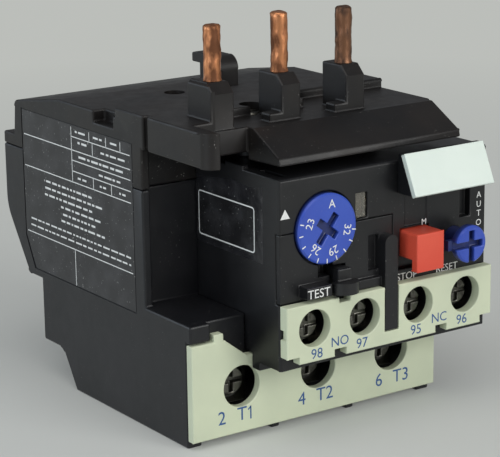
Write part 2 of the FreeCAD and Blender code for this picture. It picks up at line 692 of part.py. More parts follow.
def turned_along_y(body, points):
    """Revolve an outline, given as radius and depth, about the body's Y axis."""
    sketch = new_sketch(body, "XY_Plane", 0)
    draw_outline(sketch, points)
    feature = body.newObject("PartDesign::Revolution", "Turned")
    feature.Profile = sketch
    feature.ReferenceAxis = (sketch, ["V_Axis"])
    feature.Angle = 360
    sketch.Visibility = False
    return feature


def round_edges(body, radius, wanted):
    """Fillet the edges of a body that a test picks."""
    DOCUMENT.recompute()
    base = body.Tip
    names = []
    for index, edge in enumerate(base.Shape.Edges, start=1):
        if wanted(edge):
            names.append("Edge%d" % index)
    fillet = body.newObject("PartDesign::Fillet", "Rounding")
    fillet.Base = (base, names)
    bind(fillet, "Radius", radius)
    return fillet


def near(value, size):
    """Tell whether a coordinate lies at a size."""
    return abs(value - as_size(size).number) < 0.01


def along(edge, axis):
    """Tell whether an edge is a straight line along an axis."""
    if not isinstance(edge.Curve, Part.Line):
        return False
    direction = edge.Curve.Direction
    return abs(abs(getattr(direction, axis)) - 1) < 1e-6


def at(edge, **places):
    """Tell whether the middle of an edge lies at the given places."""
    middle = edge.CenterOfMass
    return all(near(getattr(middle, axis), size) for axis, size in places.items())


# ---------------------------------------------------------------------------
# Case base
# ---------------------------------------------------------------------------

def cut_label_recess(body):
    """Sink the shallow recess for the rating label into the left wall."""
    outline = [
        (S.label_front, S.label_bottom),
        (S.label_back - S.label_corner_run, S.label_bottom),
        (S.label_back, S.label_bottom + S.label_corner),
        (S.label_back, S.label_top),
        (S.label_front, S.label_top),
    ]
    side_cut(body, outline, -S.overrun, S.label_depth)


def make_case_base():
    """Make the open-topped base: three pole chambers behind a stepped side outline."""
    body = new_body("case_base")
    toe = S.base_length + S.toe_run
    outline = [
        (S.cover_thickness, 0),
        (S.base_length, 0),
        (toe, S.toe_rise),
        (HEEL_REACH, S.toe_rise),
        (HEEL_REACH, BELLY_HEIGHT),
        (BELLY_REACH, BELLY_HEIGHT),
        (BACK_REACH, BACK_HEIGHT),
        (BACK_REACH, SPLIT_HEIGHT),
        (S.recess_back, SPLIT_HEIGHT),
        (S.recess_back, S.roof_height),
        (S.cover_thickness, S.roof_height),
    ]
    side_pad(body, outline, 0, S.body_width)
    block_right = S.module_left - S.seat_gap * 2
    shelf = box_points(S.cover_thickness, S.recess_back, S.roof_height, RECESS_FLOOR)
    side_pad(body, shelf, 0, block_right)
    lip_bottom = RECESS_FLOOR - S.lip_height
    lip = box_points(S.lip_set_back, S.cover_thickness, lip_bottom, RECESS_FLOOR)
    side_pad(body, lip, 0, S.lip_width)
    rail = box_points(0, S.recess_rail, S.rail_front, S.recess_back)
    plan_pad(body, rail, RECESS_FLOOR, SPLIT_HEIGHT)
    void = [
        (0, -S.overrun),
        (S.entry_depth, -S.overrun),
        (S.entry_depth, S.floor_wall),
        (S.base_length - S.case_wall / 2, S.floor_wall),
        (toe - S.case_wall / 2, S.toe_rise + S.case_wall),
        (HEEL_REACH - S.case_wall, S.toe_rise + S.case_wall),
        (HEEL_REACH - S.case_wall, BELLY_HEIGHT + S.case_wall),
        (BELLY_REACH - S.case_wall / 2, BELLY_HEIGHT + S.case_wall),
        (BACK_REACH - S.case_wall, BACK_HEIGHT + S.case_wall / 2),
        (BACK_REACH - S.case_wall, SPLIT_HEIGHT + S.overrun),
        (CHAMBER_FRONT, SPLIT_HEIGHT + S.overrun),
        (CHAMBER_FRONT, S.roof_height - S.roof_wall),
        (0, S.roof_height - S.roof_wall),
    ]
    chamber = side_cut(body, void, SIDE_WALL, SIDE_WALL + CHAMBER)
    repeat(body, [chamber], "X_Axis", S.pole_pitch, 3)
    bar_room = S.bar_gap + S.bar_travel
    bar_slot = box_points(
        SIDE_WALL,
        S.body_width - SIDE_WALL,
        BAR_BACK - S.bar_thickness - bar_room,
        BAR_BACK + S.bar_gap,
    )
    plan_cut(body, bar_slot, BAR_BOTTOM - S.bar_gap, SPLIT_HEIGHT)
    finger_half = S.finger_width / 2 + S.bar_gap
    window = box_points(S.finger_x - finger_half, S.finger_x + finger_half, 0, CHAMBER_FRONT + S.overrun)
    plan_cut(body, window, BAR_BOTTOM - S.bar_gap, SPLIT_HEIGHT)
    post_top = SPLIT_HEIGHT
    upright_post(body, S.screw_column, S.rear_screw_depth, S.screw_post, 0, post_top)
    upright_bore(
        body,
        S.screw_column,
        S.rear_screw_depth,
        S.cover_screw_shank + S.seat_gap,
        post_top - S.screw_post * 2,
        post_top,
    )
    cut_label_recess(body)
    round_edges(body, S.back_round, lambda edge: along(edge, "x") and at(
        edge, y=BACK_REACH, z=BACK_HEIGHT))
    round_edges(body, S.outline_round, lambda edge: along(edge, "x") and (
        at(edge, y=BELLY_REACH, z=BELLY_HEIGHT) or at(edge, y=toe, z=S.toe_rise)))
    return finish(body)


# ---------------------------------------------------------------------------
# Top cover
# ---------------------------------------------------------------------------

def boss_outline(front, back, top, bevel):
    """Return the side outline of a pin boss with its sloping front top."""
    foot = DECK_HEIGHT - S.deck_skin / 2
    return [
        (front, foot),
        (back, foot),
        (back, top),
        (front + bevel, top),
        (front, top - bevel),
    ]


def add_boss(body, pole):
    """Add a pin boss: a flanged one on the left, ledged ones for the others."""
    middle = pin_x(pole)
    left = middle - S.boss_width / 2
    back = S.boss_front + S.boss_length
    outline = boss_outline(S.boss_front, back, BOSS_TOP, S.boss_bevel)
    side_pad(body, outline, left, left + S.boss_width)
    if pole == 0:
        front = S.deck_front
        flange = boss_outline(front, back, BOSS_TOP - S.edge_round, S.boss_bevel / 2)
        side_pad(body, flange, left - S.flange_wall, left)
        return
    ledge = box_points(
        left - S.ledge_width,
        left,
        S.boss_front,
        S.boss_front + S.ledge_length,
    )
    plan_pad(body, ledge, DECK_HEIGHT - S.deck_skin / 2, DECK_HEIGHT + S.ledge_rise)


def strap_plan(pole, margin):
    """Return the plan outline of a strap, widened by a margin."""
    half = S.strap_width / 2 + margin
    bend = S.boss_front + S.boss_length
    return [
        (pin_x(pole) - half, S.pin_depth - half),
        (pin_x(pole) + half, S.pin_depth - half),
        (pin_x(pole) + half, bend),
        (pole_x(pole) + half, CHAMBER_FRONT),
        (pole_x(pole) + half, HEATER_BACK + S.seat_gap + S.strap_thickness + margin),
        (pole_x(pole) - half, HEATER_BACK + S.seat_gap + S.strap_thickness + margin),
        (pole_x(pole) - half, CHAMBER_FRONT),
        (pin_x(pole) - half, bend),
    ]


def make_top_cover():
    """Make the top cover: a moulded lid with deck, raised field, bosses, hood and wing."""
    body = new_body("top_cover")
    outline = [
        (S.recess_back, SPLIT_HEIGHT + S.seat_gap),
        (BACK_REACH, SPLIT_HEIGHT + S.seat_gap),
        (BACK_REACH - S.seat_gap, TAB_HEIGHT),
        (TAB_FRONT, TAB_HEIGHT),
        (FALL_REACH, FALL_HEIGHT),
        (RIDGE_REACH, DECK_HEIGHT),
        (S.deck_front, DECK_HEIGHT),
        (S.deck_front, DECK_UNDER),
        (S.recess_back, DECK_UNDER),
    ]
    side_pad(body, outline, 0, S.body_width)
    field_top = DECK_HEIGHT + S.step_height
    field = [
        (0, S.deck_front),
        (pin_x(0) - S.boss_width / 2, S.deck_front),
        (pin_x(0) - S.boss_width / 2, S.step_notch),
        (S.step_break, S.step_notch),
        (S.step_break, S.step_front),
        (S.body_width, S.step_front),
        (S.body_width, S.step_back),
        (S.step_slant_width, S.step_back),
        (0, S.step_back - S.step_slant),
    ]
    plan_pad(body, field, DECK_HEIGHT - S.deck_skin / 2, field_top)
    wing = box_points(0, S.wing_wall, -S.wing_front, S.deck_front)
    plan_pad(body, wing, DECK_UNDER, field_top)
    rail = box_points(0, S.recess_rail, S.rail_front, S.recess_back)
    plan_pad(body, rail, SPLIT_HEIGHT + S.seat_gap, DECK_UNDER)
    hood = [
        (S.deck_front, DECK_HEIGHT),
        (S.deck_front, DECK_UNDER - S.hood_lip),
        (-S.hood_front - S.hood_lip / 3, HOOD_EDGE_HEIGHT - S.hood_lip),
        (-S.hood_front, HOOD_EDGE_HEIGHT),
        (S.hood_lip / 4, DECK_HEIGHT),
    ]
    side_pad(body, hood, S.hood_left, S.hood_right)
    hollow = [
        (S.deck_front - S.hood_wall, DECK_UNDER - S.hood_lip - S.overrun),
        (-S.hood_front + S.hood_wall, DECK_UNDER - S.hood_lip - S.overrun),
        (-S.hood_front + S.hood_wall, HOOD_EDGE_HEIGHT - S.hood_wall / 2),
        (S.deck_front - S.hood_wall, DECK_HEIGHT - S.hood_wall),
    ]
    side_cut(body, hollow, S.hood_left + S.hood_wall, S.hood_right - S.hood_wall)
    void = [
        (CHAMBER_FRONT, SPLIT_HEIGHT - S.overrun),
        (CHAMBER_FRONT, DECK_HEIGHT - S.deck_skin),
        (RIDGE_REACH - S.case_wall, DECK_HEIGHT - S.deck_skin),
        (FALL_REACH - S.case_wall, FALL_HEIGHT - S.case_wall),
        (TAB_FRONT - S.case_wall, SPLIT_HEIGHT - S.overrun),
    ]
    chamber = side_cut(body, void, SIDE_WALL, SIDE_WALL + CHAMBER)
    repeat(body, [chamber], "X_Axis", S.pole_pitch, 3)
    for pole in range(3):
        add_boss(body, pole)
    for pole in range(3):
        plan_cut(body, strap_plan(pole, S.pin_fit), STRAP_BOTTOM - S.pin_fit, STRAP_TOP + S.pin_fit)
        upright_bore(
            body,
            pin_x(pole),
            S.pin_depth,
            S.pin_root + S.pin_fit,
            STRAP_BOTTOM,
            BOSS_TOP,
        )
    notch = box_points(0, S.wing_wall - S.edge_round, S.notch_front, S.notch_front + S.notch_length)
    plan_cut(body, notch, DECK_HEIGHT - S.notch_depth, field_top)
    groove = box_points(0, S.groove_depth, S.groove_front, S.groove_front + S.groove_width)
    plan_cut(body, groove, DECK_UNDER, field_top)
    add_screw_seats(body, field_top)
    cut_label_recess(body)
    hook = hook_foot_plan(S.seat_gap)
    plan_cut(body, hook, DECK_HEIGHT - S.hook_foot - S.seat_gap, DECK_HEIGHT)
    round_cover(body, field_top)
    return finish(body)


def add_screw_seats(body, field_top):
    """Sink the seats of the two cover screws into the cover."""
    seats = (
        (S.screw_column, S.front_screw_depth, field_top, DECK_UNDER),
        (S.screw_column, S.rear_screw_depth, DECK_HEIGHT, SPLIT_HEIGHT),
    )
    rear = seats[1]
    upright_post(body, rear[0], rear[1], S.screw_post, SPLIT_HEIGHT + S.seat_gap, DECK_HEIGHT)
    for x, y, top, bottom in seats:
        head_seat = top - S.cover_screw_sink - S.screw_head_height
        upright_bore(body, x, y, S.cover_screw_head + S.seat_gap, head_seat, top)
        upright_bore(body, x, y, S.cover_screw_shank + S.seat_gap, bottom, head_seat)


def round_cover(body, field_top):
    """Round the edges of the top cover that are seen and handled."""
    round_edges(body, S.wing_wall - S.edge_round, lambda edge: along(edge, "z") and at(
        edge, x=0, y=-S.wing_front))
    round_edges(body, S.outline_round, lambda edge: along(edge, "x") and at(
        edge, y=FALL_REACH, z=FALL_HEIGHT))
    round_edges(body, S.edge_round * 2, lambda edge: along(edge, "x") and (
        at(edge, y=-S.hood_front, z=HOOD_EDGE_HEIGHT) or at(
            edge, y=S.step_front, z=field_top)))


# ---------------------------------------------------------------------------
# Hook and cover screws
# ---------------------------------------------------------------------------

def hook_foot_plan(margin):
    """Return the plan outline of the hook's foot, widened by a margin."""
    return box_points(
        S.hook_left - margin,
        S.hook_left + S.hook_width + margin,
        S.hook_front - margin,
        S.hook_front + S.hook_length + margin,
    )


def make_mounting_hook():
    """Make the hook that latches under the contactor: a post with a rearward nose."""
    body = new_body("mounting_hook")
    top = DECK_HEIGHT + S.hook_rise
    back = S.hook_front + S.hook_length
    outline = [
        (S.hook_front, DECK_HEIGHT - S.hook_foot),
        (back, DECK_HEIGHT - S.hook_foot),
        (back, top - S.hook_nose_height),
        (back + S.hook_nose, top - S.hook_nose_height),
        (back + S.hook_nose, top - S.edge_round),
        (back + S.hook_nose / 2, top),
        (S.hook_front, top),
    ]
    side_pad(body, outline, S.hook_left, S.hook_left + S.hook_width)
    round_edges(body, S.hook_nose, lambda edge: along(edge, "x") and at(
        edge, y=S.hook_front, z=top))
    return finish(body)


def make_cover_screw(label, x, y, top, length):
    """Make a slotted screw that stands in the cover with its head down at a height."""
    body = new_body(label)
    head = S.screw_head_height
    turned(body, [
        (0, -head - length),
        (S.cover_screw_shank, -head - length),
        (S.cover_screw_shank, -head),
        (S.cover_screw_head, -head),
        (S.cover_screw_head, -S.edge_round),
        (S.cover_screw_head - S.edge_round, 0),
        (0, 0),
    ])
    half = S.driver_slot / 2
    reach = S.cover_screw_head + S.overrun
    plan_cut(body, box_points(-reach, reach, -half, half), -head / 2, 0)
    return finish(body, x, y, top - S.cover_screw_sink)


# ---------------------------------------------------------------------------
# Control module
# ---------------------------------------------------------------------------

def make_module_housing():
    """Make the housing of the control module, open at the back towards the case."""
    body = new_body("module_housing")
    foot_back = -S.seat_gap * 2
    outline = [
        (FACE, S.skirt_bottom),
        (foot_back, S.skirt_bottom),
        (foot_back, S.roof_height + S.seat_gap),
        (S.recess_back - S.seat_gap, S.roof_height + S.seat_gap),
        (S.recess_back - S.seat_gap, MODULE_TOP),
        (FACE, MODULE_TOP),
    ]
    side_pad(body, outline, S.module_left, MODULE_RIGHT)
    foot_front = foot_back - S.skirt_foot_length
    foot = box_points(foot_front, foot_back, S.skirt_foot, S.skirt_bottom)
    for left in (S.module_left, MODULE_RIGHT - S.skirt_foot_width):
        side_pad(body, foot, left, left + S.skirt_foot_width)
    top = MODULE_TOP - S.module_wall
    open_back = S.recess_back + S.overrun
    drop_front = FACE + S.aux_cell_depth + S.module_wall
    main_room = [
        (open_back, LOWER_FLOOR),
        (drop_front, LOWER_FLOOR),
        (drop_front, CAVITY_FLOOR),
        (FACE_BACK, CAVITY_FLOOR),
        (FACE_BACK, top),
        (open_back, top),
    ]
    case_side = S.body_width - S.module_wall
    side_cut(body, main_room, S.module_left + S.module_wall, case_side)
    closed_back = S.recess_back - S.module_wall
    side_room = [(closed_back, z) if y is open_back else (y, z) for y, z in main_room]
    side_cut(body, side_room, case_side, MODULE_RIGHT - S.module_wall)
    cut_aux_cells(body)
    cut_module_face(body)
    slit = box_points(
        S.module_left + S.module_wall,
        S.module_left + S.module_wall + S.module_slot,
        FACE + S.face_wall,
        -S.edge_round,
    )
    plan_cut(body, slit, MODULE_TOP - S.module_slot / 2, MODULE_TOP)
    post_bottom = MODULE_TOP - S.module_wall
    post_top = DECK_UNDER - S.seat_gap
    upright_post(body, S.screw_column, S.front_screw_depth, S.screw_post, post_bottom, post_top)
    upright_bore(
        body,
        S.screw_column,
        S.front_screw_depth,
        S.cover_screw_shank + S.seat_gap,
        post_bottom,
        post_top,
    )
    clip = box_points(
        S.module_left,
        S.module_left + S.module_slot,
        S.deck_front,
        S.pin_depth + S.boss_bevel,
    )
    plan_pad(body, clip, MODULE_TOP - S.module_slot, MODULE_TOP + S.module_slot / 2)
    round_edges(body, S.edge_round * 2, lambda edge: (
        along(edge, "z") and at(edge, x=S.module_left, y=FACE)
        or along(edge, "x") and at(edge, y=FACE, z=MODULE_TOP)
    ))
    return finish(body)


def cut_aux_cells(body):
    """Cut the four auxiliary terminal chambers and their wire entries."""
    ceiling = CAVITY_FLOOR - S.module_wall
    for index in range(4):
        middle = aux_x(index)
        half = S.aux_cell / 2
        cell = box_points(middle - half, middle + half, ceiling - S.aux_cell_height, ceiling)
        front_cut(body, cell, FACE, FACE + S.aux_cell_depth)
        entry_half = S.wire_entry / 2
        entry_front = FACE + S.module_wall / 2
        entry = box_points(
            middle - entry_half,
            middle + entry_half,
            entry_front,
            entry_front + S.wire_entry_depth,
        )
        plan_cut(body, entry, S.skirt_foot, ceiling - S.aux_cell_height + S.seat_gap)
        tail_half = S.contact_width / 2 + S.seat_gap
        slot = box_points(
            middle - tail_half,
            middle + tail_half,
            ceiling - S.slide_gap - S.contact_tail - S.seat_gap,
            ceiling,
        )
        slot_front = FACE + S.aux_cell_depth
        front_cut(body, slot, slot_front, slot_front + S.module_wall)


def cut_module_face(body):
    """Cut the face of the module for the panel, the dial, the keys and the window."""
    depth = FACE + S.panel_depth
    panel = box_points(S.module_left, S.panel_right, AUX_TOP, PANEL_TOP)
    front_cut(body, panel, FACE, depth)
    front_bores(
        body,
        [(DIAL_X, DIAL_HEIGHT)],
        S.dial_radius + S.dial_rim_gap,
        FACE,
        depth,
    )
    front_bores(body, [(DIAL_X, DIAL_HEIGHT)], S.dial_hub + S.hub_fit, FACE, FACE_BACK)
    front_cut(body, trip_slot_points(0), FACE, FACE_BACK)
    front_cut(body, key_stem_points(S.slide_gap), FACE, FACE_BACK)
    front_cut(body, stop_shank_points(S.slide_gap), FACE, FACE_BACK)
    sink = box_points(
        STOP_LEFT - S.slide_gap * 4,
        STOP_LEFT + S.stop_width + S.slide_gap,
        STOP_HEAD_BOTTOM - S.slide_gap,
        STOP_SHANK_BOTTOM,
    )
    front_cut(body, sink, FACE, depth)
    reset = [(RESET_X, RESET_HEIGHT)]
    front_bores(body, reset, S.reset_stem_radius + S.hub_fit, FACE, FACE_BACK)
    detent = box_points(
        S.detent_left,
        S.detent_left + S.detent_width,
        S.detent_bottom,
        S.detent_top,
    )
    front_cut(body, detent, FACE, FACE + S.detent_depth)
    front_cut(body, window_points(0), FACE, FACE_BACK)
    track = box_points(
        S.track_left,
        S.track_left + S.track_width,
        STOP_TOP + S.slide_gap * 2,
        MODULE_TOP - S.module_wall,
    )
    front_cut(body, track, FACE, FACE + S.track_depth)


def trip_slot_points(margin):
    """Return the front outline of the slot under the dial."""
    return box_points(
        TRIP_SLOT_LEFT - margin,
        TRIP_SLOT_LEFT + S.trip_slot_width + margin,
        TRIP_SLOT_BOTTOM - margin,
        TRIP_SLOT_BOTTOM + S.trip_slot_height + margin,
    )


def key_stem_points(margin):
    """Return the front outline of the test key's stem, widened by a margin."""
    half = S.key_stem_width / 2 + margin
    bottom = KEY_POST_TOP - S.key_stem_width
    return box_points(KEY_X - half, KEY_X + half, bottom - margin, KEY_POST_TOP + margin)


def key_post_points(margin):
    """Return the front outline of the test key's post, widened by a margin."""
    half = S.key_post_width / 2 + margin
    return box_points(
        KEY_X - half,
        KEY_X + half,
        KEY_BOTTOM - margin,
        KEY_POST_TOP + margin,
    )


def stop_shank_points(margin):
    """Return the front outline of the stop button's shank, widened by a margin."""
    return box_points(
        STOP_LEFT - margin,
        STOP_LEFT + S.stop_width + margin,
        STOP_SHANK_BOTTOM - margin,
        STOP_TOP + margin,
    )


def window_points(margin):
    """Return the front outline of the window, widened by a margin."""
    return box_points(
        WINDOW_LEFT - margin,
        WINDOW_LEFT + S.window_width + margin,
        WINDOW_BOTTOM - margin,
        WINDOW_BOTTOM + S.window_height + margin,
    )


def make_face_panel():
    """Make the lower face panel with the lettered bar, the shelf and the arched rib."""
    body = new_body("face_panel")
    back = FACE + S.panel_depth - S.seat_gap
    plate = box_points(
        S.module_left + S.panel_gap,
        S.panel_right - S.panel_gap,
        AUX_TOP + S.panel_gap,
        PANEL_TOP - S.panel_gap,
    )
    front_pad(body, plate, FACE, back)
    rib_left = S.aux_middle - S.divider_width / 2
    rib = box_points(rib_left, rib_left + S.divider_width, S.divider_foot + S.divider_gap, RIB_TOP)
    front_pad(body, rib, FACE - S.rib_proud + S.divider_gap, FACE)
    shelf_left = KEY_X + S.key_width / 2 + S.slide_gap
    shelf = box_points(shelf_left, rib_left, AUX_TOP + S.panel_gap, SHELF_TOP)
    front_pad(body, shelf, FACE - S.shelf_proud, FACE)
    bar = box_points(
        TEST_BAR_LEFT,
        TEST_BAR_LEFT + S.test_bar_width,
        KEY_BOTTOM,
        KEY_BOTTOM + S.test_bar_height,
    )
    front_pad(body, bar, FACE - S.test_bar_proud, FACE)
    pocket = box_points(
        rib_left - S.rib_pocket,
        rib_left,
        SHELF_TOP + S.edge_round * 4,
        RIB_TOP,
    )
    front_cut(body, pocket, FACE, FACE + S.panel_depth - S.edge_round)
    front_bores(
        body,
        [(DIAL_X, DIAL_HEIGHT)],
        S.dial_radius + S.dial_rim_gap,
        FACE,
        back,
    )
    front_cut(body, trip_slot_points(0), FACE, back)
    front_cut(body, key_post_points(S.slide_gap), FACE, back)
    round_edges(body, S.divider_width / 2 - S.divider_gap, lambda edge: along(edge, "y") and (
        at(edge, x=rib_left, z=RIB_TOP) or at(edge, x=rib_left + S.divider_width, z=RIB_TOP)
    ) and edge.CenterOfMass.y < FACE.number - S.edge_round.number)
    return finish(body)


# ---------------------------------------------------------------------------
# Terminal covers
# ---------------------------------------------------------------------------

def make_power_terminal_cover():
    """Make the power terminal cover: a plate with a sloped shoulder and three holes."""
    body = new_body("power_terminal_cover")
    back = S.cover_thickness - S.seat_gap
    outline = [
        (0, S.cover_bottom),
        (S.body_width, S.cover_bottom),
        (S.body_width, S.cover_low_top),
        (S.cover_slope_right, S.cover_low_top),
        (S.cover_slope_left, S.cover_top),
        (S.nib_left + S.nib_width, S.cover_top),
        (S.nib_left + S.nib_width, S.cover_top + S.nib_rise),
        (S.nib_left, S.cover_top + S.nib_rise),
        (S.nib_left, S.cover_top),
        (0, S.cover_top),
    ]
    front_pad(body, outline, 0, back)
    centres = [(pole_x(pole), S.power_screw_height) for pole in range(3)]
    front_bores(body, centres, S.power_hole, 0, back)
    round_edges(body, S.edge_round, lambda edge: edge.CenterOfMass.y < 0.001 and (
        along(edge, "x") and (at(edge, z=S.cover_bottom) or at(edge, z=S.cover_top))
        or along(edge, "z") and (at(edge, x=0) or at(edge, x=S.body_width))))
    return finish(body)


def make_aux_terminal_cover():
    """Make the auxiliary terminal cover: four holes, stepped underside, middle slot."""
    body = new_body("aux_terminal_cover")
    left = S.module_left
    right = MODULE_RIGHT
    bottom = S.aux_bottom
    raised = S.aux_bottom + S.aux_step
    notch = S.aux_middle - S.aux_notch_offset
    second = S.aux_middle + S.aux_notch_offset - S.aux_notch_width
    outline = [
        (left, raised),
        (left + S.aux_corner, raised),
        (left + S.aux_corner, bottom),
        (notch, bottom),
        (notch, raised),
        (notch + S.aux_notch_width, raised),
        (notch + S.aux_notch_width, bottom),
        (second, bottom),
        (second, raised),
        (second + S.aux_notch_width, raised),
        (second + S.aux_notch_width, bottom),
        (right - S.aux_corner, bottom),
        (right - S.aux_corner, raised),
        (right, raised),
        (right, AUX_TOP),
        (left, AUX_TOP),
    ]
    back = FACE - S.seat_gap
    front_pad(body, outline, AUX_FRONT, back)
    half = S.divider_width / 2 + S.divider_gap
    slot = box_points(S.aux_middle - half, S.aux_middle + half, S.divider_foot, AUX_TOP)
    front_cut(body, slot, AUX_FRONT, back)
    centres = [(aux_x(index), AUX_SCREW_HEIGHT) for index in range(4)]
    front_bores(body, centres, S.aux_hole, AUX_FRONT, back)
    scallop = box_points(
        left,
        left + S.edge_round * 2,
        AUX_SCREW_HEIGHT - S.aux_step,
        AUX_SCREW_HEIGHT + S.edge_round,
    )
    front_cut(body, scallop, AUX_FRONT + S.edge_round * 2, back)
    thumb = box_points(
        KEY_X - S.key_stem_width / 2,
        KEY_X + S.key_stem_width / 2,
        AUX_TOP - S.edge_round * 3,
        AUX_TOP,
    )
    front_cut(body, thumb, AUX_FRONT, back)
    round_edges(body, S.edge_round, lambda edge: near(edge.CenterOfMass.y, AUX_FRONT) and (
        along(edge, "x") and (at(edge, z=AUX_TOP) or at(edge, z=S.aux_bottom))
        or along(edge, "z") and (at(edge, x=left) or at(edge, x=right))))
    return finish(body)


# ---------------------------------------------------------------------------
# Marker and window
# ---------------------------------------------------------------------------

def marker_corners(depth):
    """Return the two side-view corners of the marker plate at a depth behind its face."""
    lean = S.marker_bottom_reach - S.marker_top_reach
    height = MARKER_TOP - MARKER_BOTTOM
    drop = depth * lean / height
    return (
        (FACE - S.marker_top_reach + depth, MARKER_TOP - drop),
        (FACE - S.marker_bottom_reach + depth, MARKER_BOTTOM - drop),
    )


def make_marker_plate():
    """Make the leaning marker plate, left blank."""
    body = new_body("marker_plate")
    front_top, front_bottom = marker_corners(Size(0))
    back_top, back_bottom = marker_corners(S.marker_thickness)
    outline = [front_bottom, back_bottom, back_top, front_top]
    side_pad(body, outline, S.marker_left, S.marker_left + S.marker_width)
    round_edges(body, S.edge_round / 2, lambda edge: along(edge, "x") and (
        at(edge, y=front_top[0], z=front_top[1]) or at(
            edge, y=front_bottom[0], z=front_bottom[1])))
    return finish(body)


def make_marker_holder():
    """Make the wedge that carries the marker plate on the module's face."""
    body = new_body("marker_holder")
    top, bottom = marker_corners(S.marker_thickness + S.seat_gap)
    outline = [
        (FACE - S.seat_gap, bottom[1]),
        (FACE - S.seat_gap, top[1]),
        top,
        bottom,
    ]
    left = S.marker_left + S.holder_inset
    right = S.marker_left + S.marker_width + S.holder_inset
    side_pad(body, outline, left, right)
    return finish(body)


def make_window_pane():
    """Make the clear pane of the trip window."""
    body = new_body("window_pane")
    front = FACE + S.pane_set_back
    front_pad(body, window_points(-S.seat_gap), front, front + S.pane_thickness)
    return finish(body)


# ---------------------------------------------------------------------------
# Dial, keys and their springs
# ---------------------------------------------------------------------------

STEM_BACK = FACE_BACK + S.slide_gap / 2
FLANGE_BACK = STEM_BACK + S.flange_thickness
CORE_END = -S.core_tip


def widened(points, rim):
    """Return a rectangle widened all round by a rim."""
    (low_x, low_z), (high_x, _), (_, high_z), _ = points
    return box_points(low_x - rim, high_x + rim, low_z - rim, high_z + rim)


def make_setting_dial():
    """Make the current dial: a cross-slotted disc whose hub carries an eccentric."""
    body = new_body("setting_dial")
    front = FACE - S.dial_proud
    back = front + S.dial_thickness
    turned_along_y(body, [
        (0, front),
        (S.dial_radius - S.edge_round, front),
        (S.dial_radius, front + S.edge_round),
        (S.dial_radius, back),
        (S.dial_hub, back),
        (S.dial_hub, back + S.hub_length),
        (0, back + S.hub_length),
    ])
    front_disc(body, S.cam_offset, 0, S.cam_radius, STEM_BACK, STEM_BACK + S.cam_width)
    long = S.dial_slot_length / 2
    short = S.dial_slot_short / 2
    half = S.dial_slot_width / 2
    floor = front + S.dial_slot_depth
    front_cut(body, box_points(-short, short, -half, half), front, floor)
    front_cut(body, box_points(-half, half, -long, long), front, floor)
    axle = FreeCAD.Vector(0, 1, 0)
    body.Placement.Rotation = FreeCAD.Rotation(axle, S.dial_turn.number)
    return finish(body, DIAL_X, 0, DIAL_HEIGHT)


def make_test_key():
    """Make the test key: a round-ended tab on a post, with a stem through the wall."""
    body = new_body("test_key")
    half = S.key_width / 2
    tab_middle = FACE - S.key_reach + half
    tab_back = FACE - S.key_travel - S.slide_gap
    top = KEY_BOTTOM + S.key_thickness
    upright_post(body, KEY_X, tab_middle, half, KEY_BOTTOM, top)
    rear = box_points(KEY_X - half, KEY_X + half, tab_back, tab_middle + half)
    plan_cut(body, rear, KEY_BOTTOM, top)
    tab = box_points(KEY_X - half, KEY_X + half, tab_middle, tab_back)
    plan_pad(body, tab, KEY_BOTTOM, top)
    post_back = FACE - S.slide_gap
    front_pad(body, key_post_points(0), post_back - S.key_post_depth, post_back)
    front_pad(body, key_stem_points(0), post_back, STEM_BACK)
    front_pad(body, widened(key_stem_points(0), S.flange_rim), STEM_BACK, FLANGE_BACK)
    middle = KEY_POST_TOP - S.key_stem_width / 2
    front_disc(body, KEY_X, middle, S.key_core, FLANGE_BACK, CORE_END)
    return finish(body)


def make_stop_button():
    """Make the stop button: an overhanging head on a shank that a flange retains."""
    body = new_body("stop_button")
    front = FACE - S.stop_reach
    shank = stop_shank_points(0)
    head = box_points(
        STOP_LEFT,
        STOP_LEFT + S.stop_width,
        STOP_HEAD_BOTTOM,
        STOP_TOP,
    )
    front_pad(body, head, front, front + S.stop_head_thickness)
    front_pad(body, shank, front + S.stop_head_thickness, STEM_BACK)
    front_pad(body, widened(shank, S.flange_rim), STEM_BACK, FLANGE_BACK)
    middle = STOP_LEFT + S.stop_width / 2
    height = (STOP_SHANK_BOTTOM + STOP_TOP) / 2
    front_disc(body, middle, height, S.stop_core, FLANGE_BACK, CORE_END)
    round_edges(body, S.edge_round, lambda edge: near(edge.CenterOfMass.y, front) or (
        along(edge, "y") and near(edge.CenterOfMass.y, front + S.stop_head_thickness / 2)))
    return finish(body)


def make_reset_plunger():
    """Make the reset plunger that the reset button turns on."""
    body = new_body("reset_plunger")
    core_front = FACE - S.reset_reach + S.reset_head_thickness + S.seat_gap
    turned_along_y(body, [
        (0, core_front),
        (S.reset_core_radius, core_front),
        (S.reset_core_radius, STEM_BACK),
        (S.reset_stem_radius + S.flange_rim, STEM_BACK),
        (S.reset_stem_radius + S.flange_rim, FLANGE_BACK),
        (S.reset_core_radius, FLANGE_BACK),
        (S.reset_core_radius, CORE_END),
        (0, CORE_END),
    ])
    return finish(body, RESET_X, 0, RESET_HEIGHT)


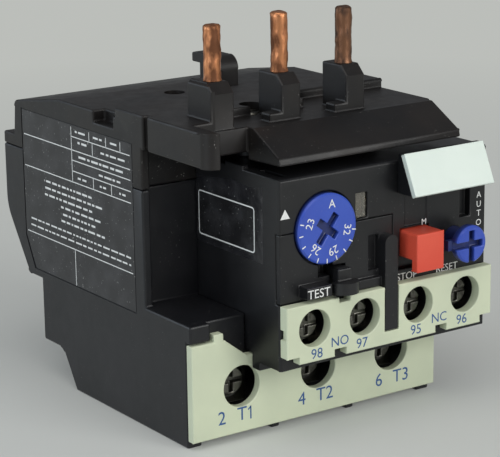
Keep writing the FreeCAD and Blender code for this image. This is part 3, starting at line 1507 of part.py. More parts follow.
def make_reset_button():
    """Make the reset button: a slotted head with a pointer block and a hollow stem."""
    body = new_body("reset_button")
    front = FACE - S.reset_reach
    head_back = front + S.reset_head_thickness
    stem_back = STEM_BACK - S.seat_gap
    bore = S.reset_core_radius + S.hub_fit
    turned_along_y(body, [
        (0, front),
        (S.reset_radius - S.edge_round, front),
        (S.reset_radius, front + S.edge_round),
        (S.reset_radius, head_back),
        (S.reset_stem_radius, head_back),
        (S.reset_stem_radius, stem_back),
        (bore, stem_back),
        (bore, head_back),
        (0, head_back),
    ])
    half = S.pointer_width / 2
    pointer_back = FACE - S.reset_travel - S.slide_gap
    pointer = box_points(-S.pointer_reach, -S.reset_core_radius - half, -half, half)
    front_pad(body, pointer, head_back - S.edge_round, pointer_back)
    open_end = -S.reset_radius - S.overrun
    slot = S.reset_slot_width / 2
    floor = front + S.reset_slot_depth
    front_cut(body, box_points(open_end, S.reset_slot_reach, -slot, slot), front, floor)
    front_cut(body, box_points(-slot, slot, open_end, S.reset_slot_reach), front, floor)
    return finish(body, RESET_X, 0, RESET_HEIGHT)


def make_return_spring(label, x, z):
    """Make a return spring along Y, between a key's flange and the inner frame."""
    front = FLANGE_BACK + S.spring_wire + S.seat_gap
    back = S.frame_front - S.spring_wire - S.seat_gap
    spine = DOCUMENT.addObject("Part::Helix", "SpringSpine")
    bind(spine, "Radius", S.spring_radius)
    bind(spine, "Height", back - front)
    bind(spine, "Pitch", (back - front) / S.spring_turns)
    wire = DOCUMENT.addObject("Part::RegularPolygon", "SpringWire")
    wire.Polygon = 4
    bind(wire, "Circumradius", S.spring_wire)
    wire.Placement.Rotation = FreeCAD.Rotation(FreeCAD.Vector(1, 0, 0), 90)
    bind(wire, "Placement.Base.x", S.spring_radius)
    spring = DOCUMENT.addObject("Part::Sweep", label.title().replace("_", ""))
    spring.Label = label
    spring.Sections = [wire]
    spring.Spine = (spine, ["Edge1"])
    spring.Solid = True
    spring.Frenet = True
    spring.Placement.Rotation = FreeCAD.Rotation(FreeCAD.Vector(1, 0, 0), -90)
    return finish(spring, x, front, z)


# ---------------------------------------------------------------------------
# Power path
# ---------------------------------------------------------------------------

def make_copper_pin(pole):
    """Make a round copper pin that stands in its boss."""
    body = new_body("copper_pin_%d" % (pole + 1))
    rise = (S.pin_rise_1, S.pin_rise_2, S.pin_rise_3)[pole]
    top = BOSS_TOP + rise
    turned(body, [
        (0, STRAP_TOP + S.seat_gap),
        (S.pin_root, STRAP_TOP + S.seat_gap),
        (S.pin_root, BOSS_TOP + S.seat_gap),
        (S.pin_radius, BOSS_TOP + S.seat_gap),
        (S.pin_radius, top - S.pin_bevel),
        (S.pin_radius - S.pin_bevel, top),
        (0, top),
    ])
    return finish(body, pin_x(pole), S.pin_depth, 0)


def make_pole_strap(pole):
    """Make the strap from a pin across the cover and down behind the heater."""
    body = new_body("pole_strap_%d" % (pole + 1))
    plan_pad(body, strap_plan(pole, 0), STRAP_BOTTOM, STRAP_TOP)
    half = S.strap_width / 2
    front = HEATER_BACK + S.seat_gap
    leg = box_points(
        pole_x(pole) - half,
        pole_x(pole) + half,
        front,
        front + S.strap_thickness,
    )
    turns = S.heater_turn_pitch * (HEATER_TURNS - 1)
    plan_pad(body, leg, S.heater_bottom + turns, STRAP_BOTTOM)
    return finish(body)


def make_bimetal(pole):
    """Make the bimetal strip of a pole."""
    body = new_body("bimetal_%d" % (pole + 1))
    half = S.bimetal_width / 2
    strip = box_points(pole_x(pole) - half, pole_x(pole) + half, STRIP_FRONT, STRIP_BACK)
    plan_pad(body, strip, TONGUE_TOP + S.seat_gap, BIMETAL_TOP)
    return finish(body)


def make_heater_winding(pole):
    """Make the heater: turns of ribbon around the strip, joined along the rear."""
    body = new_body("heater_winding_%d" % (pole + 1))
    inner_half = S.bimetal_width / 2 + S.heater_gap
    outer_half = inner_half + S.heater_wire
    middle = pole_x(pole)
    bottom = S.heater_bottom
    top = bottom + S.heater_turn_height
    outer = box_points(middle - outer_half, middle + outer_half, HEATER_FRONT, HEATER_BACK)
    turn = plan_pad(body, outer, bottom, top)
    repeat(body, [turn], "Z_Axis", S.heater_turn_pitch, HEATER_TURNS)
    last = top + S.heater_turn_pitch * (HEATER_TURNS - 1)
    spine_half = S.strap_width / 2
    spine = box_points(
        middle - spine_half,
        middle + spine_half,
        HEATER_BACK - S.heater_wire,
        HEATER_BACK,
    )
    plan_pad(body, spine, bottom, last)
    inner = box_points(
        middle - inner_half,
        middle + inner_half,
        HEATER_FRONT + S.heater_wire,
        HEATER_BACK - S.heater_wire,
    )
    plan_cut(body, inner, bottom, last)
    return finish(body)


def make_terminal_tongue(pole):
    """Make the tongue that the cable is clamped on, bent back under the strip."""
    body = new_body("terminal_tongue_%d" % (pole + 1))
    half = S.tongue_width / 2
    foot = CLAMP_BOTTOM - S.tongue_thickness
    outline = [
        (TONGUE_FRONT, foot),
        (TONGUE_BACK, foot),
        (TONGUE_BACK, TONGUE_TOP - S.tongue_thickness),
        (HEATER_BACK, TONGUE_TOP - S.tongue_thickness),
        (HEATER_BACK, TONGUE_TOP),
        (TONGUE_FRONT, TONGUE_TOP),
    ]
    side_pad(body, outline, pole_x(pole) - half, pole_x(pole) + half)
    round_edges(body, S.tongue_thickness / 2, lambda edge: along(edge, "x") and at(
        edge, y=TONGUE_FRONT, z=TONGUE_TOP))
    return finish(body)


def make_power_clamp(pole):
    """Make the clamp cage that the power screw draws against the tongue."""
    body = new_body("power_clamp_%d" % (pole + 1))
    middle = pole_x(pole)
    half = S.clamp_width / 2
    front = S.power_head_front + S.power_head_height
    back = TONGUE_BACK + S.seat_gap + S.clamp_side
    top = CLAMP_BOTTOM + S.clamp_height
    outer = box_points(middle - half, middle + half, front, back)
    plan_pad(body, outer, CLAMP_BOTTOM, top)
    inner = box_points(
        middle - half + S.clamp_side,
        middle + half - S.clamp_side,
        front + S.clamp_bar,
        back - S.clamp_side,
    )
    plan_cut(body, inner, CLAMP_BOTTOM, top)
    screw = [(middle, S.power_screw_height)]
    front_bores(body, screw, S.power_thread + S.pin_fit, front, front + S.clamp_bar)
    round_edges(body, S.clamp_side, lambda edge: along(edge, "z") and (
        near(edge.CenterOfMass.y, front) or near(edge.CenterOfMass.y, back)))
    return finish(body)


def make_terminal_screw(label, x, z, front, head, head_height, thread, length):
    """Make a terminal screw along Y with a domed head and a combined slot and cross."""
    body = new_body(label)
    back = front + head_height
    dome = head_height / 3
    turned_along_y(body, [
        (0, front),
        (head - dome, front),
        (head, front + dome),
        (head, back),
        (thread, back),
        (thread, back + length),
        (0, back + length),
    ])
    half = S.driver_slot / 2
    long = head + S.overrun
    short = head * 2 / 3
    floor = front + head_height / 2
    front_cut(body, box_points(-long, long, -half, half), front, floor)
    front_cut(body, box_points(-half, half, -short, short), front, floor)
    return finish(body, x, 0, z)


# ---------------------------------------------------------------------------
# Auxiliary terminals
# ---------------------------------------------------------------------------

AUX_HEAD_FRONT = FACE + S.aux_head_front
AUX_PLATE_FRONT = AUX_HEAD_FRONT + S.aux_head_height
AUX_TERMINAL = AUX_PLATE_FRONT + S.aux_plate_thickness + S.aux_wire_room
AUX_CEILING = CAVITY_FLOOR - S.module_wall


def make_aux_clamp(index):
    """Make the clamping plate under an auxiliary screw head."""
    body = new_body("aux_clamp_%d" % (index + 1))
    middle = aux_x(index)
    half = S.aux_plate_width / 2
    low = AUX_SCREW_HEIGHT - S.aux_plate_height / 2
    plate = box_points(middle - half, middle + half, low, low + S.aux_plate_height)
    front = AUX_PLATE_FRONT + S.seat_gap
    front_pad(body, plate, front, front + S.aux_plate_thickness)
    screw = [(middle, AUX_SCREW_HEIGHT)]
    front_bores(body, screw, S.aux_thread + S.pin_fit, front, front + S.aux_plate_thickness)
    return finish(body)


def make_aux_contact(index):
    """Make a terminal plate with its tail through the wall and its contact blade."""
    body = new_body("aux_contact_%d" % (index + 1))
    middle = aux_x(index)
    wide = S.aux_plate_width / 2
    narrow = S.contact_width / 2
    top = AUX_CEILING - S.slide_gap
    low = AUX_CEILING - S.aux_cell_height + S.slide_gap
    back = AUX_TERMINAL + S.aux_plate_thickness
    front_pad(body, box_points(middle - wide, middle + wide, low, top), AUX_TERMINAL, back)
    tail = box_points(middle - narrow, middle + narrow, top - S.contact_tail, top)
    front_pad(body, tail, back, S.contact_reach)
    blade = box_points(middle - narrow, middle + narrow, S.contact_bottom, top)
    front_pad(body, blade, S.contact_reach - S.contact_thickness, S.contact_reach)
    screw = [(middle, AUX_SCREW_HEIGHT)]
    front_bores(body, screw, S.aux_thread + S.pin_fit, AUX_TERMINAL, back)
    return finish(body)


# ---------------------------------------------------------------------------
# Trip mechanism
# ---------------------------------------------------------------------------

ARM_BACK = S.finger_front - S.slide_gap


def make_transfer_bar():
    """Make the transfer bar: a beam across the poles with a finger into the module."""
    body = new_body("transfer_bar")
    top = BAR_BOTTOM + S.bar_height
    beam = box_points(
        SIDE_WALL + S.bar_gap,
        S.body_width - SIDE_WALL - S.bar_gap,
        BAR_BACK - S.bar_thickness,
        BAR_BACK,
    )
    plan_pad(body, beam, BAR_BOTTOM, top)
    half = S.finger_width / 2
    finger = box_points(
        S.finger_x - half,
        S.finger_x + half,
        S.finger_front,
        BAR_BACK - S.bar_thickness,
    )
    plan_pad(body, finger, BAR_BOTTOM, top)
    return finish(body)


def make_trip_lever():
    """Make the trip lever: a hub on the pivot with an arm up and a toe down."""
    body = new_body("trip_lever")
    left = S.finger_x - S.lever_width / 2
    right = left + S.lever_width
    side_disc(body, S.lever_depth, LEVER_HEIGHT, S.lever_hub, left, right)
    arm = box_points(ARM_BACK - S.lever_wall, ARM_BACK, LEVER_HEIGHT, LEVER_TOP)
    side_pad(body, arm, left, right)
    half = S.lever_wall / 2
    toe = box_points(
        S.lever_depth - half,
        S.lever_depth + half,
        LEVER_HEIGHT - S.toe_length,
        LEVER_HEIGHT,
    )
    side_pad(body, toe, left, right)
    side_bore(
        body,
        S.lever_depth,
        LEVER_HEIGHT,
        S.pivot_radius + S.pivot_fit,
        left,
        right,
    )
    return finish(body)


def make_trip_flag():
    """Make the flag that the lever carries behind the window."""
    body = new_body("trip_flag")
    right = S.finger_x - S.lever_width / 2 - S.seat_gap
    left = WINDOW_LEFT + S.slide_gap
    flag = box_points(-S.flag_front, ARM_BACK, LEVER_TOP - S.flag_height, LEVER_TOP)
    side_pad(body, flag, left, right)
    return finish(body)


def ear_lefts():
    """Return the left faces of the two ears beside the lever."""
    half = S.lever_width / 2 + S.slide_gap
    return (S.finger_x - half - S.ear_width, S.finger_x + half)


def make_pivot_pin():
    """Make the pin that the lever turns on, between the two ears."""
    body = new_body("pivot_pin")
    left, right = ear_lefts()
    side_disc(
        body,
        S.lever_depth,
        LEVER_HEIGHT,
        S.pivot_radius,
        left,
        right + S.ear_width,
    )
    return finish(body)


def make_inner_frame():
    """Make the inner frame that backs the springs and carries the lever's ears."""
    body = new_body("inner_frame")
    back = S.frame_front + S.frame_thickness
    gap = S.seat_gap
    plate = box_points(
        S.module_left + S.module_wall + gap,
        S.body_width - S.module_wall,
        CAVITY_FLOOR + gap,
        MODULE_TOP - S.module_wall - gap,
    )
    front_pad(body, plate, S.frame_front, back)
    ear = box_points(
        back,
        S.ear_reach,
        LEVER_HEIGHT - S.ear_half_height,
        LEVER_HEIGHT + S.ear_half_height,
    )
    for left in ear_lefts():
        side_pad(body, ear, left, left + S.ear_width)
    left, right = ear_lefts()
    side_bore(
        body,
        S.lever_depth,
        LEVER_HEIGHT,
        S.pivot_radius + S.pivot_fit,
        left,
        right + S.ear_width,
    )
    opening = box_points(
        WINDOW_LEFT - S.slide_gap,
        S.finger_x - S.lever_width / 2 + S.slide_gap,
        FLAG_WINDOW_BOTTOM,
        FLAG_WINDOW_TOP,
    )
    front_cut(body, opening, S.frame_front, back)
    return finish(body)


# ---------------------------------------------------------------------------
# Assembly and export
# ---------------------------------------------------------------------------

def make_cover_screws():
    """Make the two screws that hold the top cover."""
    sink = S.cover_screw_sink + S.screw_head_height
    front_seat = DECK_HEIGHT + S.step_height - sink
    front_length = front_seat - MODULE_TOP + S.module_wall / 2
    make_cover_screw(
        "cover_screw_front",
        S.screw_column,
        S.front_screw_depth,
        DECK_HEIGHT + S.step_height,
        front_length,
    )
    rear_length = DECK_HEIGHT - sink - SPLIT_HEIGHT + S.screw_post * 2 - S.edge_round
    make_cover_screw(
        "cover_screw_rear",
        S.screw_column,
        S.rear_screw_depth,
        DECK_HEIGHT,
        rear_length,
    )


def make_pole(pole):
    """Make the power path of one pole, from the clamp to the copper pin."""
    make_terminal_screw(
        "power_screw_%d" % (pole + 1),
        pole_x(pole),
        S.power_screw_height,
        S.power_head_front - S.seat_gap,
        S.power_head,
        S.power_head_height,
        S.power_thread,
        S.clamp_bar + S.cable_room / 6,
    )
    make_power_clamp(pole)
    make_terminal_tongue(pole)
    make_bimetal(pole)
    make_heater_winding(pole)
    make_pole_strap(pole)
    make_copper_pin(pole)


def make_aux_terminal(index):
    """Make the screw, the clamping plate and the contact of one auxiliary terminal."""
    make_terminal_screw(
        "aux_screw_%d" % (index + 1),
        aux_x(index),
        AUX_SCREW_HEIGHT,
        AUX_HEAD_FRONT,
        S.aux_head,
        S.aux_head_height,
        S.aux_thread,
        S.aux_thread_length,
    )
    make_aux_clamp(index)
    make_aux_contact(index)


def make_controls():
    """Make the dial, the keys and their return springs."""
    make_setting_dial()
    make_test_key()
    make_stop_button()
    make_reset_plunger()
    make_reset_button()
    key_middle = KEY_POST_TOP - S.key_stem_width / 2
    make_return_spring("key_spring", KEY_X, key_middle)
    stop_middle = (STOP_SHANK_BOTTOM + STOP_TOP) / 2
    make_return_spring("stop_spring", STOP_LEFT + S.stop_width / 2, stop_middle)
    make_return_spring("reset_spring", RESET_X, RESET_HEIGHT)


def check_document():
    """Stop if anything failed to compute or has no sound solid."""
    for item in DOCUMENT.Objects:
        if "Invalid" in item.State or "Error" in item.State:
            raise RuntimeError("%s (%s) failed to compute" % (item.Label, item.Name))
    for item in SUB_PARTS:
        if item.Shape.isNull() or not item.Shape.isValid():
            raise RuntimeError("%s has no valid shape" % item.Label)
        if len(item.Shape.Solids) != 1:
            raise RuntimeError("%s has %d solids" % (item.Label, len(item.Shape.Solids)))


def main():
    """Build the relay and write one STEP file for each sub-part."""
    make_case_base()
    make_top_cover()
    make_mounting_hook()
    make_cover_screws()
    make_module_housing()
    make_face_panel()
    make_power_terminal_cover()
    make_aux_terminal_cover()
    make_marker_plate()
    make_marker_holder()
    make_window_pane()
    make_controls()
    for pole in range(3):
        make_pole(pole)
    for index in range(len(AUX_OFFSETS)):
        make_aux_terminal(index)
    make_transfer_bar()
    make_trip_lever()
    make_trip_flag()
    make_pivot_pin()
    make_inner_frame()
    DOCUMENT.recompute()
    check_document()
    os.makedirs("parts", exist_ok=True)
    for item in SUB_PARTS:
        item.Shape.exportStep("parts/%s.step" % item.Label)


main()
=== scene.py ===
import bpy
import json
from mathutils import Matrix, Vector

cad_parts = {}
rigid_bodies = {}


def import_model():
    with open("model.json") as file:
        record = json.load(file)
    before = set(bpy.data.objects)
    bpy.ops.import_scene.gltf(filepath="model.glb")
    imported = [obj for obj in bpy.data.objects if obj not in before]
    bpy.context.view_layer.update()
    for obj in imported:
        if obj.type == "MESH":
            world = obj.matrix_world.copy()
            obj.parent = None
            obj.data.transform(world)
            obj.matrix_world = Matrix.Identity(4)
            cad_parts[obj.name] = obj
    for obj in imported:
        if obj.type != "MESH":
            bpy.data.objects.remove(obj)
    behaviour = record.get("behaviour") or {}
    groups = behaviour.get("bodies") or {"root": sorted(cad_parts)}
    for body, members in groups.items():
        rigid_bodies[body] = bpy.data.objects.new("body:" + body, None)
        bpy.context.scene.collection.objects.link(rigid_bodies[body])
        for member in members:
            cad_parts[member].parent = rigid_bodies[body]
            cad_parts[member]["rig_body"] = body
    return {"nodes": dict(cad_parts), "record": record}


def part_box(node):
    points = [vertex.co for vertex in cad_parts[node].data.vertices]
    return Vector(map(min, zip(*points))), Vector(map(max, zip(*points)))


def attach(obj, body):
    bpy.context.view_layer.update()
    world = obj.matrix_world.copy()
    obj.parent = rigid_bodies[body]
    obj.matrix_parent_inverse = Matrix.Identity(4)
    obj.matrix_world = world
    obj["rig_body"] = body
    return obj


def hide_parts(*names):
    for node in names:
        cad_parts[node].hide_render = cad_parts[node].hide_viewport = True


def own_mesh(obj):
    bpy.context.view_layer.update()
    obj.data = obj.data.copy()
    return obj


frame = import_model()

"""Looks of a plug-in thermal overload relay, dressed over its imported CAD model."""

import json
import logging
import math
import random
from collections.abc import Callable
from dataclasses import dataclass, field
from enum import Enum

import bmesh
import bpy
from mathutils import Matrix, Vector

LOG = logging.getLogger("relay")
MM = 0.001
FIXED = "relay"
INK_EDGE = 0.003  # the broken edge of printed ink, in mm
INK_LIFT = 0.002  # how far ink stands clear of its face, in mm
NODE_MERGE = 0.002 * MM

Colour = tuple[float, float, float]
Point = tuple[float, float, float]
EVEN: Point = (1.0, 1.0, 1.0)


class Slot(Enum):
    """The record's material slots that a piece takes its finish from."""

    CASE = "black_case"
    COVER = "black_cover"
    MODULE = "black_module"
    CREAM = "cream_cover"
    MARKER = "white_marker"
    PANE = "clear_pane"
    DIAL = "blue_dial"
    BLUE_BUTTON = "blue_button"
    RED_BUTTON = "red_button"
    KEY = "black_key"
    COPPER = "copper"
    ZINC = "zinc_steel"
    TONGUE = "tongue_metal"
    BIMETAL = "bimetal"
    HEATER = "heater_alloy"
    INNER = "inner_plastic"
    FLAG = "flag_plastic"
    SPRING = "spring_steel"


class Ink(Enum):
    """The inks that the relay's lettering is printed in."""

    WHITE = "white_ink"
    SLATE = "slate_ink"


class Datum:
    """Turns sizes taken from the relay's own corner, in millimetres, into places in metres."""

    def __init__(self) -> None:
        """Take the corner from the power cover's lowest left front corner and the floor."""
        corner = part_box("power_terminal_cover")[0]
        self.corner = Vector((corner.x, corner.y, 0.0))

    def at(self, x: float, y: float, z: float) -> Vector:
        """Give the place x right, y back and z up from the corner, in millimetres."""
        return self.corner + Vector((x, y, z)) * MM


class Wire:
    """A shader socket that adds a Math node when it is used in an expression."""

    def __init__(self, bench: "MaterialBench", socket: bpy.types.NodeSocket) -> None:
        """Hold a socket of a node tree that is being built."""
        self.bench = bench
        self.socket = socket

    def _maths(self, operation: str, first: "Wire | float", second: "Wire | float") -> "Wire":
        """Add one Math node.

        Args:
            operation: Blender's name of the operation.
            first: The left-hand value.
            second: The right-hand value.

        Returns:
            The node's result.
        """
        inputs = {0: first, 1: second}
        return self.bench.wire("ShaderNodeMath", {"operation": operation}, inputs, "Value")

    def __add__(self, other: "Wire | float") -> "Wire":
        """Add a value."""
        return self._maths("ADD", self, other)

    __radd__ = __add__

    def __sub__(self, other: "Wire | float") -> "Wire":
        """Take a value away."""
        return self._maths("SUBTRACT", self, other)

    def __rsub__(self, other: "Wire | float") -> "Wire":
        """Be taken away from a value."""
        return self._maths("SUBTRACT", other, self)

    def __mul__(self, other: "Wire | float") -> "Wire":
        """Multiply by a value."""
        return self._maths("MULTIPLY", self, other)

    __rmul__ = __mul__

    def over(self, low: float, high: float) -> "Wire":
        """Rise from 0 at low to 1 at high, and stay in between.

        Args:
            low: The value that gives 0.
            high: The value that gives 1.

        Returns:
            The clamped share.
        """
        inputs = {"Value": self, "From Min": low, "From Max": high}
        return self.bench.wire("ShaderNodeMapRange", {"clamp": True}, inputs, "Result")


class MaterialBench:
    """Builds one procedural material, or the room's world, from named nodes."""

    def __init__(self, name: str, kind: str = "materials") -> None:
        """Start an empty node tree.

        Args:
            name: The material's or the world's name.
            kind: The collection that it belongs to, materials or worlds.
        """
        self.owner = getattr(bpy.data, kind).new(name)
        self.owner.use_nodes = True
        self.tree = self.owner.node_tree
        self.tree.nodes.clear()

    def node(self, kind: str, settings: dict, inputs: dict) -> bpy.types.Node:
        """Add one node.

        Args:
            kind: Blender's name of the node's type.
            settings: The node's own settings, set before its sockets.
            inputs: The value or the wire of each socket, by name or number.

        Returns:
            The new node.
        """
        made = self.tree.nodes.new(kind)
        for name, value in settings.items():
            setattr(made, name, value)
        for name, value in inputs.items():
            if isinstance(value, Wire):
                self.tree.links.new(value.socket, made.inputs[name])
            else:
                made.inputs[name].default_value = value
        return made

    def wire(self, kind: str, settings: dict, inputs: dict, output: str | int) -> Wire:
        """Add one node and give the wire that leaves one of its outputs."""
        return Wire(self, self.node(kind, settings, inputs).outputs[output])

    def place(self, stretch: Point = EVEN) -> Wire:
        """Give the object's own coordinates, stretched along its axes.

        Args:
            stretch: How much the pattern is packed along each axis.

        Returns:
            The coordinates.
        """
        own = self.wire("ShaderNodeTexCoord", {}, {}, "Object")
        if stretch == EVEN:
            return own
        return self.wire("ShaderNodeMapping", {}, {"Vector": own, "Scale": stretch}, "Vector")

    def noise(self, grain_mm: float, detail: float = 2.0, stretch: Point = EVEN) -> Wire:
        """Give a soft noise whose blots are about this large.

        Args:
            grain_mm: Size of a blot, in millimetres.
            detail: How many finer layers it carries.
            stretch: How much the blots are packed along each axis.

        Returns:
            The noise, about 0.5 on average.
        """
        scale = 1.0 / (grain_mm * MM)
        inputs = {"Vector": self.place(stretch), "Scale": scale, "Detail": detail}
        return self.wire("ShaderNodeTexNoise", {}, inputs, "Fac")

    def blend(self, share: Wire, first: "Colour | Wire", second: "Colour | Wire") -> Wire:
        """Mix two colours.

        Args:
            share: How much of the second colour shows.
            first: The colour at 0.
            second: The colour at 1.

        Returns:
            The mixed colour.
        """
        inputs = {0: share}
        for number, value in ((6, first), (7, second)):
            inputs[number] = value if isinstance(value, Wire) else (*value, 1.0)
        return self.wire("ShaderNodeMix", {"data_type": "RGBA"}, inputs, 2)

    def bump(self, height: Wire, depth_mm: float, under: Wire | None = None) -> Wire:
        """Raise the surface by a height that varies from 0 to 1.

        Args:
            height: The height.
            depth_mm: How high 1 stands, in millimetres.
            under: A bump that this one lies on.

        Returns:
            The normal.
        """
        inputs = {"Height": height, "Distance": depth_mm * MM, "Strength": 1.0}
        if under is not None:
            inputs["Normal"] = under
        return self.wire("ShaderNodeBump", {}, inputs, "Normal")

    def shader(self, **inputs: "Wire | float | tuple") -> Wire:
        """Add one Principled shader.

        Args:
            **inputs: The shader's sockets, with _ for each space.

        Returns:
            The shader.
        """
        named = {name.replace("_", " "): value for name, value in inputs.items()}
        if not isinstance(named["Base Color"], Wire):
            named["Base Color"] = (*named["Base Color"], 1.0)
        return self.wire("ShaderNodeBsdfPrincipled", {}, named, "BSDF")

    def close(self, shader: Wire, output: str = "ShaderNodeOutputMaterial") -> bpy.types.ID:
        """Lead a shader to the output.

        Args:
            shader: The shader.
            output: Blender's name of the output node.

        Returns:
            The finished material or world.
        """
        self.node(output, {}, {"Surface": shader})
        return self.owner

    def surface(self, **inputs: "Wire | float | tuple") -> bpy.types.Material:
        """Close the material with one Principled shader, given by its sockets."""
        return self.close(self.shader(**inputs))


# ---------------------------------------------------------------- finishes


@dataclass(frozen=True)
class Moulding:
    """Moulded thermoplastic with a fine spark-eroded grain, handling marks and dust, and painted shade that
    darkens slots deep behind a node's front.
    """

    slot: Slot
    colour: Colour
    worn: Colour
    roughness: float = 0.42
    grain_mm: float = 0.11
    grain_depth_mm: float = 0.008
    dust: float = 0.5
    shine: float = 0.5
    # painted shade in slots: the node whose front the depth counts from, where the shade starts and where
    # it is full, its strength and its colour
    shade_node: str = ""
    shade_from_mm: float = 0.15
    shade_to_mm: float = 0.8
    shade_share: float = 0.8
    shade_colour: Colour = (0.010, 0.013, 0.045)
    cloud_mm: float = 9.0
    cloud_depth_mm: float = 0.05
    rub_mm: float = 2.2
    speck_mm: float = 0.24
    speck_colour: Colour = (0.34, 0.33, 0.31)
    fluff_mm: float = 6.0

    def painted_shade(self, bench: MaterialBench) -> Wire:
        """Give how much painted shade darkens each depth behind a node's front.

        Args:
            bench: The material being built.

        Returns:
            The share, 0 at the front and 1 deep in a slot.
        """
        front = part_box(self.shade_node)[0].y
        depth = bench.wire("ShaderNodeSeparateXYZ", {}, {"Vector": bench.place()}, "Y")
        return depth.over(front + self.shade_from_mm * MM, front + self.shade_to_mm * MM)

    def material(self) -> bpy.types.Material:
        """Build the plastic.

        Returns:
            The material.
        """
        bench = MaterialBench(self.slot.value)
        clouds = bench.noise(self.cloud_mm, 3.0)
        rubbed = bench.noise(self.rub_mm, 4.0)
        specks = bench.noise(self.speck_mm, 1.0).over(0.74, 0.775)
        fluff = bench.noise(self.fluff_mm, 2.0).over(0.42, 0.62)
        tone = bench.blend(clouds.over(0.35, 0.68), self.colour, self.worn)
        tone = bench.blend(specks * fluff * self.dust, tone, self.speck_colour)
        # painted shade: darkens the tone towards navy black deeper behind the node's front, where shade
        # falls in slots
        if self.shade_node:
            tone = bench.blend(self.painted_shade(bench) * self.shade_share, tone, self.shade_colour)
        grain = bench.noise(self.grain_mm, 2.0)
        normal = bench.bump(grain, self.grain_depth_mm, bench.bump(clouds, self.cloud_depth_mm))
        rough = rubbed * 0.22 + (self.roughness - 0.11) + specks * 0.3
        return bench.surface(
            Base_Color=tone,
            Roughness=rough,
            Normal=normal,
            Specular_IOR_Level=self.shine,
        )


@dataclass(frozen=True)
class WornMetal:
    """Plated or bare metal with turned scratches, dull blotches and tarnish in patches."""

    slot: Slot
    bright: Colour
    tarnish: Colour
    tarnish_from: float = 0.48
    roughness: float = 0.3
    scratch_depth_mm: float = 0.006
    blotch_mm: float = 1.3
    draw: float = 1.0
    name: str = ""
    blotch_depth_mm: float = 0.03
    scratch_mm: float = 0.25
    scratch_draw: float = 0.12

    def material(self) -> bpy.types.Material:
        """Build the metal.

        Returns:
            The material.
        """
        bench = MaterialBench(self.name or self.slot.value)
        blotch = bench.noise(self.blotch_mm, 3.0, (1.0, 1.0, self.draw))
        share = blotch.over(self.tarnish_from, self.tarnish_from + 0.16)
        scratches = bench.noise(self.scratch_mm, 3.0, (1.0, 1.0, self.scratch_draw))
        tone = bench.blend(share, self.bright, self.tarnish)
        tone = bench.blend(scratches.over(0.56, 0.7) * 0.35, tone, self.tarnish)
        rough = share * 0.28 + scratches * 0.2 + (self.roughness - 0.1)
        under = bench.bump(blotch, self.blotch_depth_mm)
        normal = bench.bump(scratches, self.scratch_depth_mm, under)
        return bench.surface(
            Base_Color=tone,
            Roughness=rough,
            Metallic=1.0 - share * 0.35,
            Normal=normal,
        )


@dataclass(frozen=True)
class ClearPlastic:
    """Clear plastic, slightly yellowed and finely scratched."""

    slot: Slot
    tint: Colour = (0.93, 0.89, 0.78)

    def material(self) -> bpy.types.Material:
        """Build the clear plastic.

        Returns:
            The material.
        """
        bench = MaterialBench(self.slot.value)
        haze = bench.noise(0.5, 3.0, (0.4, 1.0, 1.0))
        return bench.surface(
            Base_Color=self.tint,
            Roughness=haze.over(0.4, 0.8) * 0.3 + 0.05,
            Transmission_Weight=0.9,
            IOR=1.46,
        )


@dataclass(frozen=True)
class PrintedInk:
    """Pad-printed ink, thin in places and rubbed at its edges."""

    name: str
    colour: Colour
    rubbed: Colour
    roughness: float = 0.55

    def material(self) -> bpy.types.Material:
        """Build the ink.

        Returns:
            The material.
        """
        bench = MaterialBench(self.name)
        thin = bench.noise(0.28, 4.0).over(0.5, 0.75)
        tone = bench.blend(thin * 0.55, self.colour, self.rubbed)
        return bench.surface(Base_Color=tone, Roughness=thin * 0.2 + self.roughness)


@dataclass(frozen=True)
class PrintedFilm:
    """Glossy black label film with soft ripples and fine dust."""

    name: str
    colour: Colour
    roughness: float = 0.3
    ripple_mm: float = 0.02
    ripple_colour: Colour = (0.06, 0.06, 0.065)
    speck_colour: Colour = (0.5, 0.5, 0.48)
    grain_depth_mm: float = 0.004

    def material(self) -> bpy.types.Material:
        """Build the film.

        Returns:
            The material.
        """
        bench = MaterialBench(self.name)
        ripple = bench.noise(3.4, 2.0)
        grain = bench.noise(0.2, 2.0)
        specks = bench.noise(0.34, 1.0).over(0.72, 0.76)
        tone = bench.blend(ripple.over(0.4, 0.7) * 0.4, self.colour, self.ripple_colour)
        tone = bench.blend(specks * 0.5, tone, self.speck_colour)
        return bench.surface(
            Base_Color=tone,
            Roughness=grain * 0.16 + (self.roughness - 0.08),
            Normal=bench.bump(grain, self.grain_depth_mm, bench.bump(ripple, self.ripple_mm)),
        )


